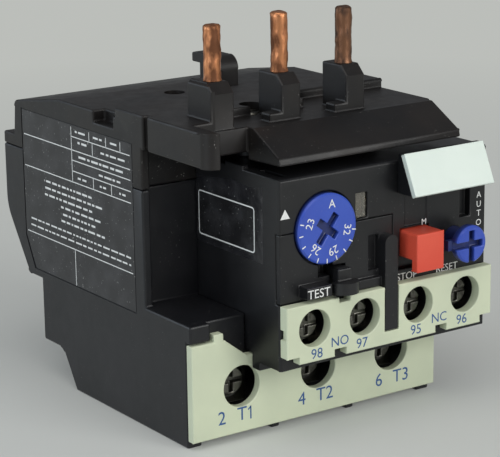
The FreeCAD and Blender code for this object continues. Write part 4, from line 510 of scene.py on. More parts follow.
FINISHES: dict[Slot, "Moulding | WornMetal | ClearPlastic"] = {
    finish.slot: finish
    for finish in (
        Moulding(Slot.CASE, (0.0075, 0.0080, 0.0098), (0.012, 0.012, 0.0145), 0.38, shine=0.42),
        Moulding(Slot.COVER, (0.0078, 0.0075, 0.0080), (0.014, 0.0115, 0.0105), 0.40, dust=0.8, shine=0.36),
        Moulding(Slot.MODULE, (0.0065, 0.0068, 0.0080), (0.0105, 0.0105, 0.0120), 0.34, shine=0.45),
        Moulding(Slot.CREAM, (0.62, 0.67, 0.49), (0.56, 0.61, 0.45), 0.5, dust=0.12),
        Moulding(Slot.MARKER, (0.74, 0.82, 0.76), (0.68, 0.77, 0.71), 0.35, dust=0.1),
        # the dial and the blue reset button get painted shade deep in their slots
        Moulding(Slot.DIAL, (0.035, 0.075, 0.43), (0.045, 0.10, 0.50), 0.32,
                 dust=0.2, shade_node="setting_dial"),
        Moulding(Slot.BLUE_BUTTON, (0.03, 0.07, 0.42), (0.05, 0.10, 0.50), 0.34,
                 dust=0.2, shade_node="reset_button"),
        Moulding(Slot.RED_BUTTON, (0.66, 0.060, 0.032), (0.72, 0.09, 0.05), 0.4, dust=0.15),
        Moulding(Slot.KEY, (0.007, 0.007, 0.008), (0.011, 0.011, 0.012), 0.36),
        Moulding(Slot.INNER, (0.62, 0.60, 0.52), (0.55, 0.53, 0.46), 0.5),
        Moulding(Slot.FLAG, (0.75, 0.50, 0.10), (0.68, 0.44, 0.09), 0.42),
        WornMetal(Slot.COPPER, (0.66, 0.28, 0.13), (0.17, 0.065, 0.028), 0.42, 0.36, 0.016, 1.5, 0.45),
        WornMetal(Slot.ZINC, (0.15, 0.147, 0.13), (0.045, 0.042, 0.035), 0.50, 0.34),
        WornMetal(Slot.TONGUE, (0.66, 0.55, 0.42), (0.36, 0.27, 0.18), 0.5, 0.36),
        WornMetal(Slot.BIMETAL, (0.52, 0.50, 0.47), (0.30, 0.28, 0.25), 0.52, 0.3),
        WornMetal(Slot.HEATER, (0.46, 0.43, 0.40), (0.24, 0.20, 0.16), 0.5, 0.36),
        WornMetal(Slot.SPRING, (0.58, 0.58, 0.58), (0.32, 0.31, 0.30), 0.58, 0.26),
        ClearPlastic(Slot.PANE),
    )
}

INKS: dict[Ink, PrintedInk] = {
    Ink.WHITE: PrintedInk(Ink.WHITE.value, (0.80, 0.81, 0.79), (0.45, 0.45, 0.45)),
    Ink.SLATE: PrintedInk(Ink.SLATE.value, (0.022, 0.085, 0.255), (0.07, 0.15, 0.30)),
}


class Paints:
    """Makes each finish once and hands out its material."""

    def __init__(self) -> None:
        """Build the record's slots and the inks."""
        self.slots = {slot: finish.material() for slot, finish in FINISHES.items()}
        self.inks = {ink: finish.material() for ink, finish in INKS.items()}

    @staticmethod
    def coat(piece: bpy.types.Object, material: bpy.types.Material) -> None:
        """Give a piece one material all over.

        Args:
            piece: The piece.
            material: Its material.
        """
        piece.data.materials.clear()
        piece.data.materials.append(material)
        for face in piece.data.polygons:
            face.material_index = 0

    @staticmethod
    def finish(
        piece: bpy.types.Object, material: bpy.types.Material, slot: Slot, body: str = FIXED, node: str = ""
    ) -> None:
        """Coat a piece, say what it moves with, and hide the CAD node that it stands for.

        Args:
            piece: The piece.
            material: Its material.
            slot: The slot that it belongs to; not used.
            body: The CAD body that it moves with.
            node: The CAD node that it stands for, or nothing.
        """
        Paints.coat(piece, material)
        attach(piece, body)
        if node:
            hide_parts(node)


# ---------------------------------------------------------------- modelling helpers


class Hand:
    """Modelling steps done as by hand, with one object in edit mode at a time."""

    @staticmethod
    def hold(piece: bpy.types.Object) -> bpy.types.Object:
        """Select one object alone, make it active and hand it back.

        Args:
            piece: The object.

        Returns:
            The same object.
        """
        bpy.ops.object.select_all(action="DESELECT")
        piece.select_set(True)
        bpy.context.view_layer.objects.active = piece
        return piece

    @staticmethod
    def start(add: Callable, name: str, **settings: "float | int | tuple | str") -> bpy.types.Object:
        """Add a primitive as the start of a piece.

        Args:
            add: The operator that adds it.
            name: The piece's name.
            **settings: The operator's settings.

        Returns:
            The new object, active and alone in the selection.
        """
        bpy.ops.object.select_all(action="DESELECT")
        add(**settings)
        piece = bpy.context.active_object
        piece.name = name
        piece.data.name = name
        return Hand.hold(piece)

    @staticmethod
    def copy(name: str, mesh: bpy.types.Mesh) -> bpy.types.Object:
        """Make an object with its own copy of a mesh.

        Args:
            name: The object's name.
            mesh: The mesh.

        Returns:
            The object.
        """
        piece = bpy.data.objects.new(name, mesh.copy())
        bpy.context.scene.collection.objects.link(piece)
        return piece

    @staticmethod
    def edit(piece: bpy.types.Object, select: str = "DESELECT") -> None:
        """Open an object in edit mode.

        Args:
            piece: The object.
            select: SELECT for all of it, DESELECT for nothing.
        """
        Hand.hold(piece)
        bpy.ops.object.mode_set(mode="EDIT")
        bpy.ops.mesh.select_all(action=select)

    @staticmethod
    def close() -> None:
        """Leave edit mode."""
        bpy.ops.object.mode_set(mode="OBJECT")

    @staticmethod
    def close_outwards() -> None:
        """Turn every face outwards and leave edit mode."""
        bpy.ops.mesh.select_all(action="SELECT")
        bpy.ops.mesh.normals_make_consistent(inside=False)
        Hand.close()

    @staticmethod
    def pick_faces(piece: bpy.types.Object, test: Callable[[bmesh.types.BMFace], bool]) -> None:
        """Select the faces that pass a test, in edit mode.

        Args:
            piece: The object in edit mode.
            test: Takes a face.
        """
        bpy.ops.mesh.select_mode(type="FACE")
        mesh = bmesh.from_edit_mesh(piece.data)
        for face in mesh.faces:
            face.select_set(test(face))
        bmesh.update_edit_mesh(piece.data)

    @staticmethod
    def pick_edges(piece: bpy.types.Object, test: Callable[[bmesh.types.BMEdge], bool]) -> int:
        """Select the edges that pass a test, in edit mode.

        Args:
            piece: The object in edit mode.
            test: Takes an edge.

        Returns:
            How many edges are selected.
        """
        bpy.ops.mesh.select_all(action="DESELECT")
        bpy.ops.mesh.select_mode(type="EDGE")
        mesh = bmesh.from_edit_mesh(piece.data)
        for edge in mesh.edges:
            edge.select_set(test(edge))
        bmesh.update_edit_mesh(piece.data)
        return sum(edge.select for edge in mesh.edges)

    @staticmethod
    def modify(piece: bpy.types.Object, kind: str, **settings: "float | int | str | bool") -> None:
        """Add a modifier to a piece and apply it.

        Args:
            piece: The piece.
            kind: Blender's name of the modifier.
            **settings: The modifier's settings.
        """
        Hand.hold(piece)
        step = piece.modifiers.new(kind, kind)
        for name, value in settings.items():
            setattr(step, name, value)
        bpy.ops.object.modifier_apply(modifier=step.name)

    @staticmethod
    def settle(piece: bpy.types.Object, place: Vector, turn: Point = (0.0, 0.0, 0.0)) -> None:
        """Put a piece in its place, with the place in its mesh.

        Args:
            piece: The piece.
            place: Where its origin goes, in metres.
            turn: Its turn about X, Y and Z, in degrees.
        """
        Hand.hold(piece)
        piece.location = place
        piece.rotation_euler = tuple(math.radians(angle) for angle in turn)
        bpy.ops.object.transform_apply(location=True, rotation=True, scale=True)

    @staticmethod
    def node_copy(node: str, name: str) -> bpy.types.Object:
        """Copy a CAD node's mesh, merge its points and leave it open in edit mode.

        Args:
            node: The CAD node.
            name: The copy's name.

        Returns:
            The copy, with all of it selected.
        """
        piece = Hand.copy(name, frame["nodes"][node].data)
        Hand.edit(piece)
        bpy.ops.mesh.customdata_custom_splitnormals_clear()
        bpy.ops.mesh.select_all(action="SELECT")
        bpy.ops.mesh.remove_doubles(threshold=NODE_MERGE)
        return piece

    @staticmethod
    def smooth(piece: bpy.types.Object, angle: float) -> None:
        """Shade a piece smoothly except over edges sharper than an angle in degrees."""
        Hand.hold(piece)
        bpy.ops.object.shade_smooth_by_angle(angle=math.radians(angle))

    @staticmethod
    def join(pieces: list[bpy.types.Object], name: str) -> bpy.types.Object:
        """Join several meshes into one piece.

        Args:
            pieces: The meshes.
            name: The joined piece's name.

        Returns:
            The joined piece.
        """
        bpy.ops.object.select_all(action="DESELECT")
        for piece in pieces:
            piece.select_set(True)
        bpy.context.view_layer.objects.active = pieces[0]
        bpy.ops.object.join()
        pieces[0].name = name
        pieces[0].data.name = name
        return pieces[0]

    @staticmethod
    def block(name: str, low: Vector, high: Vector) -> bpy.types.Object:
        """Start a piece as a block between two corners.

        Args:
            name: The piece's name.
            low: Its lowest corner.
            high: Its highest corner.

        Returns:
            The block.
        """
        add = bpy.ops.mesh.primitive_cube_add
        block = Hand.start(add, name, size=1.0, location=(low + high) / 2)
        block.scale = high - low
        bpy.ops.object.transform_apply(location=True, rotation=True, scale=True)
        return block

    @staticmethod
    def slab(name: str, low: Vector, high: Vector, soft_mm: float = INK_EDGE) -> bpy.types.Object:
        """Model a thin slab between two corners, with its edges broken.

        Args:
            name: The piece's name.
            low: Its lowest corner.
            high: Its highest corner.
            soft_mm: Width of the broken edge.

        Returns:
            The slab.
        """
        slab = Hand.block(name, low, high)
        Hand.edit(slab, "SELECT")
        bpy.ops.mesh.bevel(offset=soft_mm * MM, segments=2, affect="EDGES")
        Hand.close()
        return slab


# ---------------------------------------------------------------- soft-edged parts


@dataclass
class SoftSkin:
    """A CAD node's own shape with its sharp edges broken as a mould breaks them."""

    node: str
    slot: Slot
    edge_mm: float
    shortest_mm: float = 0.3
    flat: float = 0.6
    sharp: float = 59.0
    facet: float = 19.0
    narrow: float = 0.75

    def crisp(self, edge: bmesh.types.BMEdge) -> bool:
        """Tell whether an edge is long and sharp, and lies between wide faces.

        Args:
            edge: The edge.

        Returns:
            Whether it is to be broken.
        """
        if len(edge.link_faces) != 2 or edge.calc_length() < self.shortest_mm * MM:
            return False
        width = min(2 * face.calc_area() / face.calc_perimeter() for face in edge.link_faces)
        sharp = edge.calc_face_angle(0.0) > math.radians(self.sharp)
        return sharp and width > self.narrow * self.edge_mm * MM

    def build(self, paints: Paints) -> None:
        """Model the skin from a merged copy of the node and let it stand for the node.

        Args:
            paints: The finishes.
        """
        skin = Hand.node_copy(self.node, "skin_" + self.node)
        bpy.ops.mesh.dissolve_limited(angle_limit=math.radians(self.flat))
        if Hand.pick_edges(skin, self.crisp):
            bpy.ops.transform.edge_bevelweight(value=1.0)
        bpy.ops.mesh.select_all(action="SELECT")
        bpy.ops.mesh.quads_convert_to_tris(quad_method="BEAUTY", ngon_method="BEAUTY")
        Hand.close()
        Hand.modify(
            skin,
            "BEVEL",
            width=self.edge_mm * MM,
            segments=2,
            limit_method="WEIGHT",
            use_clamp_overlap=False,
            loop_slide=False,
        )
        Hand.smooth(skin, self.facet)
        body = frame["nodes"][self.node]["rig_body"]
        paints.finish(skin, paints.slots[self.slot], self.slot, body, self.node)
        LOG.info("skin of %s", self.node)


class SkinnedParts:
    """A sub-assembly whose pieces all keep their CAD shape under soft edges."""

    skins: list[SoftSkin]

    def build(self, paints: Paints) -> None:
        """Model every piece.

        Args:
            paints: The finishes.
        """
        for skin in self.skins:
            skin.build(paints)


@dataclass
class Housing(SkinnedParts):
    """The case, its cover, the module and the terminal covers."""

    skins: list[SoftSkin] = field(default_factory=lambda: [
        SoftSkin("case_base", Slot.CASE, 0.30),
        SoftSkin("top_cover", Slot.COVER, 0.28),
        SoftSkin("mounting_hook", Slot.COVER, 0.22),
        SoftSkin("module_housing", Slot.MODULE, 0.16),
        SoftSkin("face_panel", Slot.MODULE, 0.12),
        SoftSkin("marker_plate", Slot.MARKER, 0.10),
        SoftSkin("marker_holder", Slot.MODULE, 0.12),
        SoftSkin("power_terminal_cover", Slot.CREAM, 0.14),
        SoftSkin("aux_terminal_cover", Slot.CREAM, 0.12),
        SoftSkin("window_pane", Slot.PANE, 0.06),
    ])


@dataclass
class Terminals(SkinnedParts):
    """Clamps and screws behind the round holes, and the cover's two screws."""

    power_edge_mm: float = 0.12
    aux_edge_mm: float = 0.10
    cover_edge_mm: float = 0.08

    def __post_init__(self) -> None:
        """List the clamps and screws."""
        sets = (
            ("power_clamp", (1, 2, 3), self.power_edge_mm),
            ("power_screw", (1, 2, 3), self.power_edge_mm),
            ("aux_clamp", (1, 2, 3, 4), self.aux_edge_mm),
            ("aux_screw", (1, 2, 3, 4), self.aux_edge_mm),
            ("cover_screw", ("front", "rear"), self.cover_edge_mm),
        )
        self.skins = [SoftSkin(f"{kind}_{n}", Slot.ZINC, edge) for kind, ends, edge in sets for n in ends]


@dataclass
class Buttons(SkinnedParts):
    """The test key, the stop button and the reset button with its plunger."""

    skins: list[SoftSkin] = field(default_factory=lambda: [
        SoftSkin("stop_button", Slot.RED_BUTTON, 0.30),
        SoftSkin("test_key", Slot.KEY, 0.22),
        SoftSkin("reset_button", Slot.BLUE_BUTTON, 0.12),
        SoftSkin("reset_plunger", Slot.BLUE_BUTTON, 0.08),
    ])


# ---------------------------------------------------------------- copper pins


@dataclass
class CopperPins:
    """The three round copper pins, hammered and browned, with ragged cut ends."""

    radius: float = 1.34
    root: float = 0.9
    seat_gap: float = 0.05
    rings: int = 16
    sides: int = 28
    end_bevel: float = 0.26
    end_share: float = 0.8
    end_insets: tuple[float, float] = (0.25, 0.35)
    smooth_stretch: float = 0.3
    dent_mm: float = 0.30
    dent_size_mm: float = 1.5
    dent_level: float = 0.78
    facet: float = 50.0
    browned: WornMetal = WornMetal(
        Slot.COPPER, (0.24, 0.12, 0.07), (0.07, 0.038, 0.025), 0.46, 0.42, 0.016, 1.5, 0.45, "browned")

    def pin(self, number: int) -> bpy.types.Object:
        """Model one pin over its CAD node.

        Args:
            number: The pin's number from the left, from 1.

        Returns:
            The pin.
        """
        low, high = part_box(f"copper_pin_{number}")
        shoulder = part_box("top_cover")[1].z + self.seat_gap * MM
        middle = (low + high) / 2
        add = bpy.ops.mesh.primitive_circle_add
        pin = Hand.start(add, f"copper_pin_worn_{number}", vertices=self.sides,
                         radius=self.root * MM, fill_type="NGON")
        Hand.edit(pin, "SELECT")
        self.extrude(shoulder - low.z)
        self.extrude(0.0, self.radius / self.root)
        for _ in range(self.rings):
            self.extrude((high.z - self.end_bevel * MM - shoulder) / self.rings)
        self.extrude(self.end_bevel * MM, self.end_share)
        for step in self.end_insets:
            bpy.ops.mesh.inset(thickness=step * MM)
        Hand.close_outwards()
        Hand.settle(pin, Vector((middle.x, middle.y, low.z)))
        self.hammer(pin, number, shoulder)
        return pin

    @staticmethod
    def extrude(rise: float, grow: float = 1.0) -> None:
        """Extrude the round end upwards.

        Args:
            rise: How far, in metres.
            grow: How many times wider the new end is.
        """
        bpy.ops.mesh.extrude_region_move(TRANSFORM_OT_translate={"value": (0, 0, rise)})
        if grow != 1.0:
            bpy.ops.transform.resize(value=(grow, grow, 1), center_override=(0, 0, 0))

    def hammer(self, pin: bpy.types.Object, number: int, shoulder: float) -> None:
        """Dent the bare stretch of a pin.

        Args:
            pin: The pin.
            number: Its number.
            shoulder: Height of the boss that it stands in, in metres.
        """
        group = pin.vertex_groups.new(name="bare")
        lowest = shoulder + self.smooth_stretch * MM
        group.add([v.index for v in pin.data.vertices if v.co.z > lowest], 1.0, "REPLACE")
        dents = bpy.data.textures.new(f"dents_{number}", "CLOUDS")
        dents.noise_scale = self.dent_size_mm * MM
        dents.noise_depth = 1
        Hand.modify(pin, "DISPLACE", texture=dents, texture_coords="LOCAL",
                    strength=self.dent_mm * MM, mid_level=self.dent_level, vertex_group="bare")
        Hand.smooth(pin, self.facet)

    def build(self, paints: Paints) -> None:
        """Model the three pins.

        Args:
            paints: The finishes.
        """
        copper = paints.slots[Slot.COPPER]
        for number, metal in enumerate((copper, copper, self.browned.material()), 1):
            pin = self.pin(number)
            paints.finish(pin, metal, Slot.COPPER, FIXED, f"copper_pin_{number}")
            LOG.info("copper pin %d", number)


# ---------------------------------------------------------------- lettering


@dataclass(frozen=True)
class Print:
    """One printed word or number on a face that looks forwards."""

    words: str
    x: float
    z: float
    cap: float
    turn: float = 0.0


@dataclass
class Lettering:
    """Pad-printed words and numbers, each a thin layer of ink on one face.

    The face is given in millimetres back from the relay's corner.
    """

    face: float
    datum: Datum
    ink_mm: float = 0.016
    cap_share: float = 0.70
    curve_steps: int = 3
    merge_mm: float = 0.001
    stem_share: float = 0.115
    flag_share: float = 0.34
    flag_thin: float = 0.9
    flag_place: tuple[float, float] = (-0.11, 0.35)
    flag_turn: float = 48.0

    def spot(self, x: float, z: float) -> Vector:
        """Give the middle of the ink at a place on the face."""
        return self.datum.at(x, self.face - self.ink_mm / 2 - INK_LIFT, z)

    def strip(self, name: str, long: float, wide: float) -> bpy.types.Object:
        """Model one strip of ink about the origin.

        Args:
            name: The strip's name.
            long: Its size along X, in millimetres.
            wide: Its size along Z, in millimetres.

        Returns:
            The strip.
        """
        half = Vector((long, self.ink_mm, wide)) / 2
        return Hand.slab(name, -half * MM, half * MM)

    def word(self, mark: Print) -> bpy.types.Object:
        """Model one printed word.

        Args:
            mark: The word, its place and its height.

        Returns:
            The word as a mesh.
        """
        bpy.ops.object.select_all(action="DESELECT")
        bpy.ops.object.text_add()
        text = bpy.context.active_object.data
        text.body = mark.words
        text.align_x = "CENTER"
        text.align_y = "CENTER"
        text.size = mark.cap / self.cap_share * MM
        text.resolution_u = self.curve_steps
        text.extrude = self.ink_mm / 2 * MM
        bpy.ops.object.convert(target="MESH")
        word = bpy.context.active_object
        Hand.edit(word, "SELECT")
        bpy.ops.mesh.remove_doubles(threshold=self.merge_mm * MM)
        Hand.close()
        Hand.settle(word, self.spot(mark.x, mark.z), (90.0, mark.turn, 0.0))
        return word

    def one(self, mark: Print) -> bpy.types.Object:
        """Model a number one with a flag, as an upright bar and a slanted one.

        Args:
            mark: Its place and height.

        Returns:
            The number as a mesh.
        """
        thick = self.stem_share * mark.cap
        bar = self.strip("bar", thick, mark.cap)
        Hand.settle(bar, self.spot(mark.x, mark.z))
        flag = self.strip("flag", thick * self.flag_thin, mark.cap * self.flag_share)
        aside, up = (mark.cap * share for share in self.flag_place)
        Hand.settle(flag, self.spot(mark.x + aside, mark.z + up), (0.0, self.flag_turn, 0.0))
        return Hand.join([bar, flag], "one")

    def sheet(self, name: str, marks: list[Print]) -> bpy.types.Object:
        """Model several words of the face as one piece.

        Args:
            name: The piece's name.
            marks: The words.

        Returns:
            The joined words.
        """
        made = [self.one(mark) if mark.words == "1" else self.word(mark) for mark in marks]
        return Hand.join(made, name)


@dataclass
class CoverPrint:
    """Terminal numbers and names printed on the covers and on the module."""

    aux_marks: list[Print] = field(default_factory=lambda: [
        Print("98", 15.61, 14.25, 1.5),
        Print("NO", 19.75, 15.35, 1.45),
        Print("97", 23.77, 14.25, 1.5),
        Print("95", 33.90, 14.35, 1.5),
        Print("NC", 38.33, 15.40, 1.45),
        Print("96", 42.75, 14.30, 1.5),
    ])
    power_marks: list[Print] = field(default_factory=lambda: [
        Print("2", 5.0, 4.0, 2.05),
        Print("T", 8.55, 4.0, 2.05),
        Print("1", 10.1, 4.0, 2.0),
        Print("4", 19.4, 3.95, 2.05),
        Print("T2", 23.65, 3.95, 2.05),
        Print("6", 34.0, 3.85, 2.05),
        Print("T3", 38.3, 3.85, 2.05),
    ])
    bar_marks: list[Print] = field(default_factory=lambda: [Print("TEST", 15.8, 23.3, 1.3)])
    module_marks: list[Print] = field(default_factory=lambda: [
        Print("STOP", 33.5, 22.3, 1.15),
        Print("RESET", 41.2, 22.3, 1.12),
        Print("M", 36.7, 30.1, 0.9),
        Print("A", 47.35, 32.6, 0.95),
        Print("U", 47.35, 31.15, 0.95),
        Print("T", 47.35, 29.75, 0.95),
        Print("O", 47.35, 28.3, 0.95),
    ])
    pointer_x: float = 11.45
    pointer_z: float = 34.95
    pointer_radius: float = 0.95
    pointer_thick: float = 0.012
    pointer_lift: float = 0.01

    def pointer(self, datum: Datum) -> bpy.types.Object:
        """Model the plain triangle beside the dial.

        Args:
            datum: The relay's corner.

        Returns:
            The triangle.
        """
        place = datum.at(self.pointer_x, 0.0, self.pointer_z)
        place.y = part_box("module_housing")[0].y - self.pointer_lift * MM
        add = bpy.ops.mesh.primitive_circle_add
        mark = Hand.start(add, "print_triangle", vertices=3, radius=self.pointer_radius * MM,
                          fill_type="NGON")
        Hand.edit(mark, "SELECT")
        thick = {"value": (0, 0, self.pointer_thick * MM)}
        bpy.ops.mesh.extrude_region_move(TRANSFORM_OT_translate=thick)
        Hand.close_outwards()
        Hand.settle(mark, place, (90.0, 0.0, 0.0))
        return mark

    def build(self, paints: Paints, datum: Datum) -> None:
        """Print every mark of the covers and the module.

        Args:
            paints: The finishes.
            datum: The relay's corner.
        """
        faces = (
            ("aux_numbers", self.aux_marks, "aux_terminal_cover", Ink.SLATE, Slot.CREAM),
            ("power_numbers", self.power_marks, "power_terminal_cover", Ink.SLATE, Slot.CREAM),
            ("test_word", self.bar_marks, "face_panel", Ink.WHITE, Slot.MODULE),
            ("module_words", self.module_marks, "module_housing", Ink.WHITE, Slot.MODULE),
        )
        for name, marks, node, ink, slot in faces:
            front = (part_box(node)[0].y - datum.corner.y) / MM
            words = Lettering(front, datum).sheet("print_" + name, marks)
            paints.finish(words, paints.inks[ink], slot)
            LOG.info("print %s", name)
        paints.finish(self.pointer(datum), paints.inks[Ink.WHITE], Slot.MODULE)


# ---------------------------------------------------------------- dial


@dataclass
class SettingDial:
    """The blue current dial with its printed scale."""

    edge_mm: float = 0.12
    tick_radius: float = 4.72
    tick_length: float = 0.70
    tick_width: float = 0.17
    first_tick: float = 164.5
    tick_step: float = 20.7
    ticks: int = 10
    cap: float = 1.22
    numbers: tuple[tuple[str, float, float], ...] = (
        ("23", 3.30, 159.0), ("26", 3.38, 231.0), ("29", 3.40, 286.0), ("32", 3.45, 350.0),
    )
    letter: Print = Print("A", 0.75, 3.55, 1.25)

    def scale(self, datum: Datum) -> bpy.types.Object:
        """Model the printed ticks and numbers on the dial's face.

        Args:
            datum: The relay's corner.

        Returns:
            The printed scale.
        """
        low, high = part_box("setting_dial")
        centre = (low + high) / 2 - datum.corner
        cx, cz = centre.x / MM, (high.z - (high.x - low.x) / 2) / MM
        ink = Lettering((low.y - datum.corner.y) / MM, datum)

        def around(radius: float, angle: float) -> tuple[float, float]:
            """Give the X and Z of a place on the dial's face."""
            return cx + radius * math.cos(math.radians(angle)), cz + radius * math.sin(math.radians(angle))

        pieces = [
            ink.word(Print(words, *around(radius, angle), self.cap, 90.0 - angle))
            for words, radius, angle in self.numbers
        ]
        letter = self.letter
        pieces.append(ink.word(Print(letter.words, cx + letter.x, cz + letter.z, letter.cap)))
        strip = ink.strip("strip", self.tick_length, self.tick_width)
        for number in range(self.ticks):
            angle = self.first_tick + number * self.tick_step
            tick = Hand.copy("tick", strip.data)
            Hand.settle(tick, ink.spot(*around(self.tick_radius, angle)), (0.0, -angle, 0.0))
            pieces.append(tick)
        bpy.data.objects.remove(strip)
        return Hand.join(pieces, "dial_scale")

    def build(self, paints: Paints, datum: Datum) -> None:
        """Model the dial and its scale.

        Args:
            paints: The finishes.
            datum: The relay's corner.
        """
        SoftSkin("setting_dial", Slot.DIAL, self.edge_mm).build(paints)
        body = frame["nodes"]["setting_dial"]["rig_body"]
        paints.finish(self.scale(datum), paints.inks[Ink.WHITE], Slot.DIAL, body)
        LOG.info("scale of the dial")


# ---------------------------------------------------------------- labels


@dataclass
class RatingLabel:
    """The black label on the left wall, with the bare frame of its table.

    Places are in millimetres back and up from the relay's corner.
    """

    front: float = 15.0
    back: float = 48.2
    bottom: float = 17.5
    top: float = 43.0
    corner_run: float = 2.8
    corner_rise: float = 5.2
    film_face: float = 0.03
    film_deep: float = 0.085
    film_edge: float = 0.02
    ink_mm: float = 0.016
    rule_mm: float = 0.15
    margin: float = 0.5
    top_margin: float = 0.3
    divider: float = 32.6
    full_rules: tuple[float, ...] = (39.1, 34.05, 23.3)
    table_rules: tuple[float, ...] = (41.2, 37.5, 35.8)
    uprights: tuple[tuple[float, float, float], ...] = (
        (32.6, 34.05, 43.0), (27.2, 41.2, 43.0), (22.3, 41.2, 43.0), (18.2, 41.2, 43.0),
        (26.3, 39.1, 41.2), (26.3, 34.05, 35.8), (21.0, 34.05, 35.8), (32.6, 17.5, 23.3),
    )
    rows: tuple[tuple[float, float, float, float], ...] = (
        (32.6, 27.0, 41.6, 0.32), (31.5, 24.0, 41.6, 0.32), (30.4, 27.0, 41.6, 0.32),
        (29.3, 24.6, 36.6, 0.32), (28.2, 26.2, 36.6, 0.32), (27.1, 23.4, 36.6, 0.32),
        (25.6, 16.0, 46.5, 0.26), (24.5, 16.0, 46.5, 0.26),
        (42.1, 28.4, 31.4, 0.3), (42.1, 23.4, 26.0, 0.3), (42.1, 19.2, 21.2, 0.3),
        (40.5, 28.0, 31.0, 0.34), (40.1, 17.0, 24.0, 0.3),
        (38.3, 17.6, 30.6, 0.34), (36.6, 18.4, 24.6, 0.3), (34.9, 28.4, 31.0, 0.3),
        (34.9, 22.6, 24.4, 0.3), (34.9, 17.0, 18.8, 0.3),
    )
    dash_range: tuple[float, float] = (0.5, 2.1)
    gap_range: tuple[float, float] = (0.3, 0.55)
    seed: int = 7

    def film(self, datum: Datum) -> bpy.types.Object:
        """Model the label's film with its cut corner.

        Args:
            datum: The relay's corner.

        Returns:
            The film.
        """
        low = datum.at(self.film_face, self.front, self.bottom)
        high = datum.at(self.film_face + self.film_deep, self.back, self.top)
        film = Hand.slab("label_film", low, high, self.film_edge)
        Hand.edit(film, "SELECT")
        corner = datum.at(0, self.back, self.bottom + self.corner_rise)
        slope = Vector((0, self.corner_rise, -self.corner_run)).normalized()
        bpy.ops.mesh.bisect(plane_co=corner, plane_no=slope, clear_outer=True, use_fill=True)
        Hand.close()
        return film

    def strip(self, name: str, datum: Datum, low: tuple[float, float],
              high: tuple[float, float]) -> bpy.types.Object:
        """Model one strip of ink on the film.

        Args:
            name: The strip's name.
            datum: The relay's corner.
            low: The Y and Z of its lowest corner.
            high: The Y and Z of its highest corner.

        Returns:
            The strip.
        """
        far = self.film_face - INK_LIFT
        return Hand.slab(name, datum.at(far - self.ink_mm, *low), datum.at(far, *high))

    def rules(self, datum: Datum) -> bpy.types.Object:
        """Model the printed lines of the table.

        Args:
            datum: The relay's corner.

        Returns:
            The lines as one piece.
        """
        half = self.rule_mm / 2
        ends = dict.fromkeys(self.full_rules, self.back - self.margin)
        ends.update(dict.fromkeys(self.table_rules, self.divider))
        start = self.front + self.margin
        lines = [
            self.strip("rule", datum, (start, z - half), (end, z + half)) for z, end in ends.items()
        ]
        for y, low, high in self.uprights:
            stop = min(high, self.top - self.top_margin)
            lines.append(self.strip("rule", datum, (y - half, low), (y + half, stop)))
        return Hand.join(lines, "label_rules")

    def marks(self, datum: Datum) -> bpy.types.Object:
        """Model the small print as plain dashes, with no words in it.

        Args:
            datum: The relay's corner.

        Returns:
            The dashes as one piece.
        """
        chance = random.Random(self.seed)
        dashes = []
        for z, start, end, height in self.rows:
            low, high = z - height / 2, z + height / 2
            while start < end:
                stop = min(start + chance.uniform(*self.dash_range), end)
                dashes.append(self.strip("dash", datum, (start, low), (stop, high)))
                start = stop + chance.uniform(*self.gap_range)
        return Hand.join(dashes, "label_small_print")

    def build(self, paints: Paints, datum: Datum) -> None:
        """Model the label.

        Args:
            paints: The finishes.
            datum: The relay's corner.
        """
        black = PrintedFilm("label_film", (0.014, 0.014, 0.016), 0.36).material()
        paints.finish(self.film(datum), black, Slot.CASE)
        for piece in (self.rules(datum), self.marks(datum)):
            paints.finish(piece, paints.inks[Ink.WHITE], Slot.CASE)
        LOG.info("rating label")


